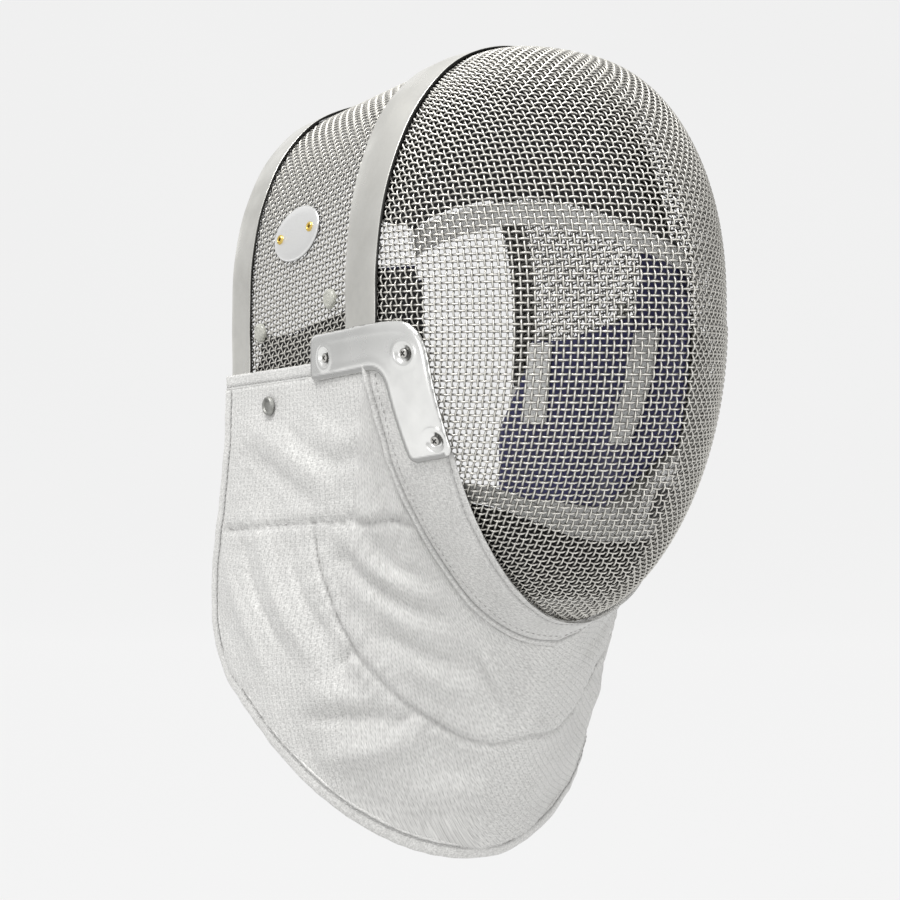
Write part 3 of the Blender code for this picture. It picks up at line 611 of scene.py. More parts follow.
def loft(name, rings, uv=None, closed=False, smooth_angle=None):
    """A closed body through rings of points, with flat ends or joined end to end."""
    rings = np.asarray(rings)
    count, around = rings.shape[:2]
    index = np.arange(count * around).reshape(count, around)
    nearer = index if closed else index[:-1]
    further = np.roll(index, -1, axis=0) if closed else index[1:]
    quads = np.stack([nearer, np.roll(nearer, -1, 1), np.roll(further, -1, 1), further], -1).reshape(-1, 4)
    faces = quads.tolist()
    points = rings.reshape(-1, 3)
    if not closed:
        for ring, flip in ((index[0], True), (index[-1], False)):
            centre = len(points)
            points = np.vstack([points, points[ring].mean(0)])
            pairs = zip(ring, np.roll(ring, -1))
            faces += [[b, a, centre] if flip else [a, b, centre] for a, b in pairs]
            if uv is not None:
                uv = np.vstack([uv.reshape(-1, 2), uv.reshape(-1, 2)[ring].mean(0)])
    mesh_uv = None if uv is None else uv.reshape(-1, 2)
    return outward(raw_mesh(name, points, faces, mesh_uv, smooth_angle))


def raw_mesh(name, points, faces, uv, smooth_angle):
    mesh = bpy.data.meshes.new(name)
    mesh.from_pydata(points.tolist(), [], faces)
    if uv is not None:
        layer = mesh.uv_layers.new(name="UVMap")
        corners = np.empty(len(mesh.loops), int)
        mesh.loops.foreach_get("vertex_index", corners)
        layer.uv.foreach_set("vector", uv.astype(np.float32)[corners].ravel())
    mesh.shade_smooth()
    if smooth_angle:
        mesh.set_sharp_from_angle(angle=math.radians(smooth_angle))
    piece = bpy.data.objects.new(name, mesh)
    bpy.context.scene.collection.objects.link(piece)
    return piece


def surface_normals(grid):
    """Unit directions out of the mask at each point of a grid."""
    normal = unit(np.cross(np.gradient(grid, axis=1), np.gradient(grid, axis=0)))
    inside = np.array([0, CENTRE_Y + 0.06, CENTRE_Z - 0.02])
    facing = np.einsum("ijk,ijk->", normal, unit(grid - inside))
    return normal if facing > 0 else -normal


def pillow(name, grid, face, thick, edge, lift=0.0, round_face=False, full_top=False):
    """A padded panel: outer face `face` above the grid, thinning to a rounded edge `edge` wide."""
    normal = surface_normals(grid)
    u = run_down(grid.transpose(1, 0, 2)).T
    v = run_down(grid)
    near = np.minimum(np.minimum(u, u[:, -1:] - u), v[-1:] - v)
    near = near if full_top else np.minimum(near, v)
    fill = np.sqrt(np.clip(1 - (1 - np.clip(near / edge, 0, 1)) ** 2, 0, 1))
    fill = mix(PILLOW_RIM, 1, fill)
    centre = face - thick / 2
    high = centre + thick / 2 * fill if round_face else face - thick * PILLOW_SINK * (1 - fill)
    low = centre - thick / 2 * fill if round_face else face - thick * fill
    outer = grid + normal * (high + lift)[..., None]
    inner = grid + normal * low[..., None]
    rows, columns = grid.shape[:2]
    index = np.arange(rows * columns).reshape(rows, columns)
    shift = rows * columns
    quads = grid_quads(index)
    rim = np.concatenate([index[0, :-1], index[:-1, -1], index[-1, :0:-1], index[:0:-1, 0]])
    ahead = np.roll(rim, -1)
    sides = np.stack([ahead, rim, rim + shift, ahead + shift], -1)
    faces = np.concatenate([quads, quads[:, ::-1] + shift, sides])
    points = np.concatenate([outer.reshape(-1, 3), inner.reshape(-1, 3)])
    uv = np.stack([u, v], -1).reshape(-1, 2)
    return outward(raw_mesh(name, points, faces.tolist(), np.concatenate([uv, uv + 0.5]), None))


def lathe(name, profile, place, normal, count=40, smooth_angle=40):
    """A turned piece from (radius, height) pairs, closed at the axis or on itself, standing on `place`."""
    axis = Vector(normal).to_track_quat("Z", "Y").to_matrix()
    turn = np.arange(count) / count * math.tau
    closed = profile[0][0] > 0 and profile[-1][0] > 0
    radius = np.array([r for r, _ in profile])
    height = np.array([h for _, h in profile])
    if not closed:
        radius = np.maximum(radius, 1e-5)
    rings = places(np.cos(turn)[:, None] * radius, np.sin(turn)[:, None] * radius, height[None])
    rings = rings @ np.array(axis).T + np.asarray(place)
    index = np.arange(rings.shape[0] * rings.shape[1]).reshape(rings.shape[:2])
    ahead = np.roll(index, -1, 0)
    if closed:
        near, far = np.roll(index, -1, 1), np.roll(ahead, -1, 1)
        faces = np.stack([index, near, far, ahead], -1).reshape(-1, 4).tolist()
    else:
        walls = np.stack([index[:, :-1], index[:, 1:], ahead[:, 1:], ahead[:, :-1]], -1)
        faces = walls.reshape(-1, 4).tolist()
        faces += [index[:, 0].tolist(), index[::-1, -1].tolist()]
    piece = raw_mesh(name, rings.reshape(-1, 3), faces, None, smooth_angle)
    return outward(piece)


def set_mark(piece, mark):
    """Stores how dark each point is drawn, from 0 to 1: painted shade on most pieces, the black outer face on
    the side linings.
    """
    layer = piece.data.attributes.new("mark", "FLOAT", "POINT")
    layer.data.foreach_set("value", np.asarray(mark, np.float32))


def finish_piece(piece, material, replaced=()):
    """Gives a piece its material and its place in the frame."""
    piece.data.materials.clear()
    piece.data.materials.append(material)
    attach(piece, "root")
    if replaced:
        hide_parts(*replaced)
    return piece


# ---------------------------------------------------------------- woven wire


def wire_line(start, held, way, count, pitch):
    """Equal steps over the dome from a place, with one coordinate held."""
    line = [np.array(start, float)]
    way = np.array(way, float)
    for _ in range(count):
        place = line[-1] + way * pitch
        for _ in range(8):
            slope = dome_slope(place)
            slope[held] = 0
            place = place - slope * dome_field(place) / (slope @ slope)
            step = place - line[-1]
            step[held] = 0
            place = line[-1] + step / np.linalg.norm(step) * pitch
        way = (place - line[-1]) / pitch
        line.append(place)
    return np.array(line)


def wire_net(rise, columns, rows, pitch):
    """Crossings over a quarter of the dome: every side of the woven squares has the same length."""
    start = dome_hit(places(0.0, CENTRE_Y, NET_LEVEL), np.array([0.0, -1.0, 0.0]))
    net = np.full((columns + 1, rows + 1, 3), np.nan)
    net[:, 0] = wire_line(start + np.array([1e-6, 0, 0]), 2, (0.7, 0.7, 0), columns, pitch)
    net[0] = wire_line(start, 0, (0, 0, rise), rows, pitch)
    for total in range(2, columns + rows + 1):
        i = np.arange(max(1, total - rows), min(columns, total - 1) + 1)
        j = total - i
        beside, below, corner = net[i - 1, j], net[i, j - 1], net[i - 1, j - 1]
        live = np.isfinite(beside + below + corner).all(1)
        live &= np.maximum(beside[:, 1], below[:, 1]) <= NET_REAR_Y
        i, j, beside, below, corner = i[live], j[live], beside[live], below[live], corner[live]
        if len(i) == 0:
            continue
        place = beside + below - corner
        for _ in range(12):
            a, b = place - beside, place - below
            miss = np.stack([
                dome_field(place) * 0.05, (a * a).sum(1) - pitch ** 2, (b * b).sum(1) - pitch ** 2,
            ], 1)
            turn = np.stack([dome_slope(place) * 0.05, 2 * a, 2 * b], 1)
            turn += np.eye(3) * 1e-12
            shift = np.linalg.solve(turn, miss[..., None])[..., 0]
            size = np.linalg.norm(shift, axis=1, keepdims=True)
            place = place - shift * np.minimum(1, pitch / np.maximum(size, 1e-12))
            place[:, 0] = np.maximum(place[:, 0], 1e-5)
        good = (np.abs(dome_field(place)) < 1e-4) & (np.linalg.norm(place - corner, axis=1) > 0.4 * pitch)
        net[i[good], j[good]] = place[good]
    return net


def wires(name, net, normal, live, sign, radius, material, replaced=()):
    """Round wires along the rows of a net; each passes over and under the ones that cross it, with painted
    shade down its sides and underneath.
    """
    ahead = np.roll(net, -1, 1)
    behind = np.roll(net, 1, 1)
    has_ahead = live & np.roll(live, -1, 1)
    has_ahead[:, -1] = False
    has_behind = live & np.roll(live, 1, 1)
    has_behind[:, 0] = False
    live = live & (has_ahead | has_behind)
    ahead = np.where(has_ahead[..., None], ahead, 2 * net - behind)
    behind = np.where(has_behind[..., None], behind, 2 * net - ahead)
    along = unit(ahead - behind)
    across = np.cross(along, normal)
    lift = normal * (sign * radius * WIRE_CROSSING)[..., None]
    rings = []
    for neighbour in (behind, ahead):
        centre = net + (neighbour - net) * 0.27 + lift
        for k in range(WIRE_SIDES):
            turn = math.tau * k / WIRE_SIDES
            rings.append(centre + (normal * math.cos(turn) + across * math.sin(turn)) * radius)
    per_node = 2 * WIRE_SIDES
    points = np.stack(rings, 2)[live].reshape(-1, 3)
    first = np.full(live.shape, -1)
    first[live] = np.arange(live.sum()) * per_node
    k = np.arange(WIRE_SIDES)
    around = (k + 1) % WIRE_SIDES
    here = first[live][:, None]
    body = np.stack([here + k, here + around, here + WIRE_SIDES + around, here + WIRE_SIDES + k], -1)
    joined = has_ahead & (first >= 0)
    joined[:, :-1] &= first[:, 1:] >= 0
    near = first[joined][:, None] + WIRE_SIDES
    far = np.roll(first, -1, 1)[joined][:, None]
    link = np.stack([near + k, near + around, far + around, far + k], -1)
    start = first[live & ~has_behind][:, None] + k[::-1]
    end = first[live & ~has_ahead][:, None] + WIRE_SIDES + k
    faces = np.concatenate([body.reshape(-1, 4), link.reshape(-1, 4)]).tolist()
    faces += start.tolist() + end.tolist()
    piece = outward(raw_mesh(name, points, faces, None, None))
    # Painted shade: each wire is drawn lightest on top, darker down its sides and darkest underneath.
    flank_shade = (1 - np.cos(math.tau * k / WIRE_SIDES)) / 2
    set_mark(piece, np.tile(flank_shade, len(points) // WIRE_SIDES))
    return finish_piece(piece, material, replaced)


def face_net(pitch):
    """The whole face: both quarters above and below the starting wire, mirrored on to the other side."""
    upper = wire_net(1, NET_COLUMNS, NET_UPPER_ROWS, pitch)
    lower = wire_net(-1, NET_COLUMNS, NET_LOWER_ROWS, pitch)
    half = np.concatenate([lower[:, :0:-1], upper], 1)
    mirrored = half[:0:-1] * np.array([-1.0, 1.0, 1.0])
    net = np.concatenate([mirrored, half])
    live = np.isfinite(net).all(2)
    net = np.where(live[..., None], net, 0.0)
    normal = unit(dome_slope(np.where(live[..., None], net, np.array([0.0, -0.15, -0.1]))))
    below = np.degrees(np.arctan2(CENTRE_Z - net[..., 2], np.abs(net[..., 0])))
    rear = mix(FACE_REAR_Y + 0.002, JAW_Y + 0.004, smooth((below - JAW_START) / JAW_TURN))
    live &= net[..., 1] < rear
    net = net - normal * WEAVE_SINK
    row, column = np.indices(live.shape)
    return net, normal, live, np.where((row + column) % 2 == 0, 1.0, -1.0)


def build_face_mesh(size):
    net, normal, live, sign = face_net(size.pitch)
    material = wire_steel(size.wire_colour)
    middle_row, middle_column = net.shape[1] - NET_UPPER_ROWS - 1, net.shape[0] // 2
    column, row = np.indices(live.shape)
    radius = size.wire / 2
    parts = (
        ("face_wires_upright_right", column < middle_column, False),
        ("face_wires_upright_left", column >= middle_column, False),
        ("face_wires_level_upper", row > middle_row, True),
        ("face_wires_level_lower", row <= middle_row, True),
    )
    for name, part, level in parts:
        chosen = live & part
        if level:
            wires(name, net.transpose(1, 0, 2), normal.transpose(1, 0, 2), chosen.T, -sign.T, radius,
                  material, ["face_mesh"] if name.endswith("lower") else ())
        else:
            wires(name, net, normal, chosen, sign, radius, material)


def build_crown_mesh(size):
    ys = np.arange(CROWN_FRONT_Y - 0.0010, CROWN_REAR_Y - 0.0008, size.pitch)
    reach = int(0.200 / size.pitch)
    steps_out = np.arange(-reach, reach + 1) * size.pitch
    fade = smooth((np.abs(steps_out) - 0.02) / 0.06)
    middle = (CROWN_FRONT_Y + CROWN_REAR_Y) / 2
    net = np.array([
        crown_point(steps_out + np.sign(steps_out) * (y - middle) * CROWN_ROW_RISE * fade, y) for y in ys
    ])
    normal = unit(np.cross(np.gradient(net, axis=1), np.gradient(net, axis=0)))
    outside = unit(net - np.array([0, 0.005, CENTRE_Z - 0.01]))
    normal *= np.sign((normal * outside).sum(-1, keepdims=True))
    live = net[..., 2] > trim_top(net[..., 1]) - 0.0050
    net = net - normal * WEAVE_SINK
    row, column = np.indices(live.shape)
    sign = np.where((row + column) % 2 == 0, 1.0, -1.0)
    material = wire_steel(size.wire_colour)
    wires("crown_wires_arched", net, normal, live, sign,
          size.wire / 2, material, ["crown_mesh"])
    wires("crown_wires_level", net.transpose(1, 0, 2), normal.transpose(1, 0, 2), live.T, -sign.T,
          size.wire / 2, material)


# ---------------------------------------------------------------- steel fittings


def band_section(width, thick, edge):
    """Across a band, then back: (across, height) with rounded edges, and a thin lip under both edges that
    carries painted shade.
    """
    turn = np.linspace(0, math.pi / 2, 5)
    corner = [(edge * (1 - math.sin(t)), thick - edge * (1 - math.cos(t))) for t in turn[::-1]]
    other = [(width - a, h) for a, h in corner[::-1]]
    middle = [(width * s, thick) for s in (0.2, 0.5, 0.8)]
    shade_lip = [(width + BAND_SHADE_LIP, 0.0003), (width + BAND_SHADE_LIP, 0.0), (-BAND_SHADE_LIP, 0.0), (-BAND_SHADE_LIP, 0.0003)]
    return corner + middle + other + shade_lip


def build_band(name, y_range, foot, size):
    width = y_range[1] - y_range[0]
    section = band_section(width, size.band_thick, size.band_thick * 0.25)
    middle = (y_range[0] + y_range[1]) / 2
    run_foot = np.interp(-foot, -crown_section(middle)[2], crown_section(middle)[0])
    runs = np.linspace(-run_foot, run_foot, 240)
    ys = np.array([y_range[0] + a for a, _ in section])
    surface = []
    for y in ys:
        line = crown_point(runs, y)
        if y < CROWN_FRONT_Y:
            centre = places(0.0, y, CENTRE_Z)
            radial = line - centre
            reach = np.linalg.norm(radial, axis=1, keepdims=True)
            way = radial / reach
            met = dome_hit(places(0.0, np.full(len(runs), y), CENTRE_Z), way)
            dome = np.linalg.norm(met - centre, axis=1, keepdims=True)
            hug = smooth((CROWN_FRONT_Y - y) / BAND_HUG)
            line = centre + way * np.where(line[:, 2:] > CENTRE_Z, mix(reach, dome, hug), reach)
        surface.append(line)
    surface = np.array(surface)
    tangent = unit(np.gradient(surface[len(ys) // 2], axis=0))
    normal = unit(np.cross(tangent, np.array([0.0, 1.0, 0.0])))
    normal *= np.sign((normal * (surface[0] - np.array([0, 0, CENTRE_Z - 0.02]))).sum(1, keepdims=True))
    heights = np.array([0.0004 + h for _, h in section])
    dents = size.band_dents * ripple(runs / 0.028, y_range[0] / 0.02, 31)
    heights = heights[None] + dents[:, None] * (heights > size.band_thick)[None]
    rings = surface.transpose(1, 0, 2) + normal[:, None] * heights[..., None]
    piece = loft(name, rings, smooth_angle=50)
    # Painted shade: the band's sides, its underside and the lip under its edges are drawn near black, as the
    # gap under the band.
    mark = [1 - smooth((height / size.band_thick - 0.72) / 0.25) for _, height in section]
    set_mark(piece, np.concatenate([np.tile(mark, len(runs)), [0.0, 0.0]]))
    return finish_piece(piece, satin_steel(size.band_colour), [name])


def round_corner(points, radii, count=9):
    """A closed outline with each corner turned into an arc-like curve."""
    outline = []
    for k, corner in enumerate(np.asarray(points, float)):
        back = unit(np.asarray(points[k - 1], float) - corner)
        ahead = unit(np.asarray(points[(k + 1) % len(points)], float) - corner)
        first, last = corner + back * radii[k], corner + ahead * radii[k]
        for t in np.linspace(0, 1, count):
            outline.append(first * (1 - t) ** 2 + corner * 2 * t * (1 - t) + last * t ** 2)
    return np.array(outline)


def bracket_outline():
    top_rear = BRACKET_TOP - 0.0055
    top_front = top_rear + BRACKET_SLOPE * (BRACKET_FRONT - BRACKET_REAR)
    foot_front = BRACKET_FRONT - 0.0028
    corners = (
        (BRACKET_REAR, top_rear),
        (BRACKET_FRONT + 0.004, top_front),
        (foot_front, BRACKET_FOOT + 0.003),
        (foot_front + BRACKET_WIDTH, BRACKET_FOOT - 0.001),
        (BRACKET_FRONT + 0.004 + BRACKET_WIDTH, top_front - BRACKET_WIDTH),
        (BRACKET_REAR, top_rear - BRACKET_WIDTH),
    )
    radii = (BRACKET_CORNER, BRACKET_ELBOW, BRACKET_CORNER, BRACKET_CORNER, BRACKET_CROOK, BRACKET_CORNER)
    return round_corner(corners, radii)


def edge_distance(points, outline):
    """Distance of each 2-D point from a closed outline."""
    a = outline
    b = np.roll(outline, -1, 0)
    span = b - a
    share = np.clip(
        ((points[:, None] - a) * span).sum(-1) / np.maximum((span * span).sum(-1), 1e-12), 0, 1
    )
    return np.linalg.norm(points[:, None] - (a + span * share[..., None]), axis=-1).min(1)


def plate(name, outline, side, seat, height_at, facet, painted_shade_at=None):
    """A pressed plate on the mask's side: its outer face is at `height_at` of the side view, and it may carry
    painted shade.
    """
    bm = bmesh.new()
    bm.faces.new([bm.verts.new((0, p[0], p[1])) for p in outline])
    for axis in (1, 2):
        low, high = outline[:, axis - 1].min(), outline[:, axis - 1].max()
        count = math.ceil((high - low) / facet)
        for k in range(1, count):
            level, way = Vector((0, 0, 0)), Vector((0, 0, 0))
            level[axis] = mix(low, high, k / count)
            way[axis] = 1
            whole = bm.verts[:] + bm.edges[:] + bm.faces[:]
            bmesh.ops.bisect_plane(bm, geom=whole, dist=facet * 0.02, plane_co=level, plane_no=way)
    bm.verts.index_update()
    flat = np.array([(v.co.y, v.co.z) for v in bm.verts])
    faces = [[v.index for v in f.verts] for f in bm.faces]
    rim = {}
    for f in bm.faces:
        for loop in f.loops:
            if loop.edge.is_boundary:
                rim[loop.vert.index] = loop.link_loop_next.vert.index
    bm.free()
    distance = edge_distance(flat, outline)
    height = height_at(flat, distance)
    top, _ = side_frame(flat[:, 0], flat[:, 1], side, height)
    low, _ = side_frame(flat[:, 0], flat[:, 1], side, np.full(len(flat), seat))
    count = len(flat)
    body = faces + [[v + count for v in face[::-1]] for face in faces]
    body += [[b, a, a + count, b + count] for a, b in rim.items()]
    piece = raw_mesh(name, np.concatenate([top, low]), body, np.concatenate([flat, flat]), 50)
    # Painted shade: the underside is drawn fully dark, as shade under the plate.
    if painted_shade_at is not None:
        set_mark(piece, np.concatenate([painted_shade_at(flat, distance), np.ones(count)]))
    return outward(piece)


def bracket_height(flat, distance):
    """Rolled edges, and a round dimple pressed in about each rivet."""
    roll = 1 - np.sqrt(np.clip(distance / EDGE_ROLL_WIDTH, 0.0, 1.0))
    height = BRACKET_SEAT + BRACKET_THICK - EDGE_ROLL_DROP * roll
    height = height + EDGE_RIDGE * hump(distance - EDGE_RIDGE_PLACE, EDGE_RIDGE_WIDTH)
    for place in SCREW_PLACES.values():
        away = np.linalg.norm(flat - np.array(place), axis=1)
        height = height - DIMPLE_DEPTH * (1 - smooth((away - DIMPLE_RADIUS) / DIMPLE_SLOPE))
        height = height + DIMPLE_RIM * hump(away - DIMPLE_RIM_RADIUS, DIMPLE_RIM_WIDTH)
    return height


def bracket_mark(flat, distance):
    """The turned edges below and behind are in shade."""
    inward = edge_distance(flat + np.array([-0.0004, 0.0004]), bracket_outline()) > distance
    wide = 1 - smooth((distance - SHADE_START) / SHADE_FADE)
    narrow = 0.3 * (1 - smooth(distance / 0.0006))
    return np.where(distance < 1e-6, 0.5, np.where(inward, wide, narrow))


def build_bracket(side, size):
    word = SIDES[side]
    piece = plate(f"corner_bracket_{word}_pressed", bracket_outline(), side, BRACKET_SEAT - 0.0002,
                  bracket_height, size.plate_facet, bracket_mark)
    finish_piece(piece, pressed_steel(size.bracket_colour), [f"corner_bracket_{word}"])
    for name, (y, z) in SCREW_PLACES.items():
        seat = BRACKET_SEAT + BRACKET_THICK - RIVET_SINK
        place, normal = side_frame(np.array(y), np.array(z), side, seat)
        rivet_head(f"bracket_screw_{word}_{name}_head", place, normal, size,
                   [f"bracket_screw_{word}_{name}"])


def rivet_head(name, place, normal, size, replaced):
    """A flat domed head with a cross pressed into it; the cross and the rim carry painted shade."""
    axis = np.array(Vector(normal).to_track_quat("Z", "Y").to_matrix())
    count = RIVET_SIDES
    rings = RIVET_RADIUS * np.concatenate([[0.04], np.linspace(0.09, 0.88, 14), [0.94, 1.0, 1.0]])
    turn = np.arange(count) / count * math.tau
    x, y = np.cos(turn) * rings[:, None], np.sin(turn) * rings[:, None]
    dome = RIVET_HEIGHT - RIVET_DOME * (rings / RIVET_RADIUS) ** 2.2
    dome[-1] = 0.0
    cross = np.minimum(np.abs(x + y), np.abs(x - y)) < CROSS_HALF_WIDTH
    cross &= rings[:, None] < CROSS_REACH
    height = dome[:, None] - CROSS_DEPTH * cross
    points = places(x, y, height) @ axis.T + place
    index = np.arange(len(rings) * count).reshape(len(rings), count)
    ahead = np.roll(index, -1, 1)
    faces = np.stack([index[:-1], index[1:], ahead[1:], ahead[:-1]], -1).reshape(-1, 4).tolist()
    faces += [index[0].tolist(), index[-1, ::-1].tolist()]
    piece = outward(raw_mesh(name, points.reshape(-1, 3), faces, None, 50))
    # Painted shade: the cross and the head's rim are drawn near black.
    rim = np.broadcast_to((rings > RIVET_RADIUS * 0.9)[:, None], cross.shape)
    set_mark(piece, (cross | rim).ravel())
    return finish_piece(piece, rivet_steel(size.rivet_colour), replaced)


def turned(name, profile, side, y, z, seat, material, replaced):
    place, normal = side_frame(np.array(y), np.array(z), side, seat)
    return finish_piece(lathe(name, profile, place, normal), material, replaced)


def build_badge(size):
    half_y, half_z = BADGE_HALF_SIZE
    turn = np.arange(96) / 96 * math.tau
    c, s = math.cos(BADGE_TILT), math.sin(BADGE_TILT)

    def place_at(a, b):
        return BADGE_PLACE[0] + a * c - b * s, BADGE_PLACE[1] + a * s + b * c

    def height_at(flat, distance):
        return 0.0012 + 0.0004 * smooth(distance / 0.0040) - 0.0005 * (1 - smooth(distance / 0.0006))

    holes = [np.array(place_at(end * EYELET_SPREAD, 0.0)) for end in (-1, 1)]

    # Painted shade: the eyelets' holes are drawn dark, and the badge's edge darker.
    def painted_shade_at(flat, distance):
        away = np.min([np.linalg.norm(flat - hole, axis=1) for hole in holes], axis=0)
        return np.maximum(1 - smooth((away - 0.0012) / 0.0004), 0.6 * (1 - smooth(distance / 0.0005)))

    outline = np.stack(place_at(half_y * np.cos(turn), half_z * np.sin(turn)), -1)
    piece = plate("badge_plate", outline, -1, PLATE_SEAT, height_at, BADGE_FACET, painted_shade_at)
    finish_piece(piece, badge_metal(size.badge_colour), ["badge"])
    for hole, end in zip(holes, ("front", "rear")):
        turned(f"badge_eyelet_{end}_ring", EYELET_PROFILE, -1, hole[0], hole[1], EYELET_SEAT,
               brass(size.brass_colour), [f"badge_eyelet_{end}"])


def build_fasteners(size):
    for side, word in SIDES.items():
        for place, (y, z) in CLIP_PLACES.items():
            turned(f"liner_clip_{word}_{place}_cap", CLIP_PROFILE, side, y, z, CLIP_SEAT,
                   clear_plastic(size.clip_colour), [f"liner_clip_{word}_{place}"])
        turned(f"strap_snap_{word}_ring", SNAP_PROFILE, side, SNAP_PLACE[0], SNAP_PLACE[1], SNAP_SEAT,
               snap_metal(size.snap_colour), [f"strap_snap_{word}"])


# ---------------------------------------------------------------- outer cloth


def nearest_on_line(points, line):
    """Distance of each point from a line of close points, and how far along the line that is."""
    run = run_along(line)
    flat = points.reshape(-1, 3)
    away = np.sqrt(np.maximum(
        (flat ** 2).sum(1)[:, None] + (line ** 2).sum(1)[None] - 2 * flat @ line.T, 0
    ))
    best = away.argmin(1)
    return away.min(1).reshape(points.shape[:-1]), run[best].reshape(points.shape[:-1])


def bib_line(table, side, count=260):
    """A sewn line on the bib, from rows of (share, drop)."""
    share = np.linspace(table[0][0], table[-1][0], count)
    drop = read_table(table, share)[0]
    return bib_point(share, drop, side)


def quilt_line(count=500):
    """The curved seam from the right cheek under the chin to the left one."""
    right = bib_line(QUILT_SEAM, -1, count)
    left = bib_line(QUILT_SEAM, 1, count)
    return np.concatenate([right, left[::-1][1:]])


def bib_grid():
    """Rows run down from the top, columns from the right rear edge round to the left one."""
    share = np.linspace(BIB_EDGE_SHARE, 1, 165)
    drop = np.linspace(BIB_TOP_DROP, BIB_FOOT_DROP, 104)
    right = bib_point(share[None], drop[:, None], -1)
    left = bib_point(share[None], drop[:, None], 1)
    grid = np.concatenate([right, left[:, -2::-1]], 1)
    share = np.concatenate([share, share[-2::-1]])
    return grid, np.broadcast_to(share, grid.shape[:2]), np.broadcast_to(drop[:, None], grid.shape[:2])


def fold_line(places_on_bib, side, count=70):
    """A curve on the bib through a few places."""
    knots = np.linspace(0, 1, len(places_on_bib))
    rows = [(k, share, drop) for k, (share, drop) in zip(knots, places_on_bib)]
    share, drop = read_table(rows, np.linspace(0, 1, count))
    return bib_point(share, drop, side)


def bib_relief(grid, share, drop, size):
    """Height of the quilting, and the painted shade along its seams."""
    lift = np.zeros(grid.shape[:2])
    mark = np.zeros(grid.shape[:2])
    for number, line in enumerate((bib_line(LEVEL_SEAM, -1), bib_line(LEVEL_SEAM, 1), quilt_line())):
        away, run = nearest_on_line(grid, line)
        lift -= size.seam_depth * hump(away, size.seam_width)
        lift += BANK_SHARE * size.seam_depth * hump(away - 3.0 * size.seam_width, BANK_WIDTH)
        drift = np.sin(math.tau * run / PUCKER_DRIFT + number)
        pucker = np.sin(math.tau * run / PUCKER_LENGTH + 2.2 * drift)
        lift += PUCKER_HEIGHT * pucker * np.exp(-(away / PUCKER_REACH)) * smooth(away / PUCKER_START)
        # Painted shade: a thin dark line drawn in each seam.
        mark = np.maximum(mark, hump(away, SEAM_SHADE))
    for side in SIDES:
        for height, width, places_on_bib in FOLDS:
            away, run = nearest_on_line(grid, fold_line(places_on_bib, side))
            ends = np.clip(np.sin(math.pi * run / run.max()), 0, 1) ** 0.7
            lift += size.fold_share * FOLD_SIDES[side] * height * ends * hump(away, width)
    soft = ripple(share * 5, drop * 4, 4)
    small = ripple(share * 34, drop * 24, 17, 12)
    held = smooth((drop - 0.02) / 0.10) * smooth((1 - drop) / 0.10)
    lift += size.wrinkle * (1.6 * soft + 0.55 * small) * held
    edge = smooth((share - BIB_EDGE_SHARE) / 0.04) * smooth(drop / 0.03) * smooth((0.985 - drop) / 0.05)
    return lift * edge, mark


def build_bib(size):
    grid, share, drop = bib_grid()
    lift, mark = bib_relief(grid, share, drop, size)
    piece = pillow("bib_quilted", grid, 0.0, BIB_THICK, 0.0060, lift, round_face=True, full_top=True)
    set_mark(piece, np.concatenate([mark.ravel(), mark.ravel()]))
    finish_piece(piece, silver_cloth(size.silver), ["bib"])
    normal = surface_normals(grid)
    for name, line in (
        ("bib_stitches_level_right", bib_line(LEVEL_SEAM, -1)),
        ("bib_stitches_level_left", bib_line(LEVEL_SEAM, 1)),
        ("bib_stitches_curved", quilt_line()),
    ):
        away = ((line[:, None] - grid.reshape(-1, 3)[None, ::3]) ** 2).sum(-1).argmin(1)
        facing = normal.reshape(-1, 3)[::3][away]
        stitch_row(name, line - facing * size.seam_depth * 1.05, facing, size)


def stitch_row(name, line, normal, size, sag=0.0):
    """Separate raised stitches along a line, each a spindle that dips into the cloth at its ends."""
    run = run_along(line)
    step = size.stitch + size.stitch_gap
    count = max(int(run[-1] / step), 1)
    starts = (np.arange(count) + 0.25) * step
    shares = np.array([0.0, 0.2, 0.5, 0.8, 1.0])
    along = starts[:, None] + shares * size.stitch
    centre = np.stack([np.interp(along, run, line[:, k]) for k in range(3)], -1)
    facing = unit(np.stack([np.interp(along, run, normal[:, k]) for k in range(3)], -1))
    way = unit(np.gradient(centre, axis=1))
    beside = np.cross(way, facing)
    rise = np.array([-0.5, 0.25, 0.55, 0.25, -0.5]) * size.thread - sag
    centre = centre + facing * rise[None, :, None]
    thick = np.array([0.0, 0.85, 1.0, 0.85, 0.0]) * size.thread / 2
    turns = np.arange(4) * math.pi / 2
    level = facing[:, :, None] * np.cos(turns)[None, None, :, None]
    across = beside[:, :, None] * np.sin(turns)[None, None, :, None]
    ring = (level + across) * thick[None, :, None, None] + centre[:, :, None]
    points = np.concatenate([centre[:, :1], ring[:, 1], ring[:, 2], ring[:, 3], centre[:, 4:]], 1)
    k = np.arange(4)
    nxt = (k + 1) % 4
    base = (np.arange(count) * 14)[:, None]
    tips = [np.stack([np.zeros(4, int) + base, base + 1 + nxt, base + 1 + k], -1).reshape(-1, 3)]
    tips.append(np.stack([np.zeros(4, int) + 13 + base, base + 9 + k, base + 9 + nxt], -1).reshape(-1, 3))
    quads = [
        np.stack([base + a + k, base + a + nxt, base + a + 4 + nxt, base + a + 4 + k], -1).reshape(-1, 4)
        for a in (1, 5)
    ]
    faces = np.concatenate(tips).tolist() + np.concatenate(quads).tolist()
    piece = outward(raw_mesh(name, points.reshape(-1, 3), faces, None, None))
    return finish_piece(piece, sewing_thread(size.thread_colour))


def strip_line(across, count=400):
    """A line along the jaw strip, from the right temple round the chin to the left one."""
    angle = np.linspace(SEAM[0][0] - STRIP_TOP_EASE, SEAM[-1][0], count)
    line = strip_point(angle, np.full(count, across))
    return np.concatenate([line, (line * np.array([-1, 1, 1]))[-2::-1]])


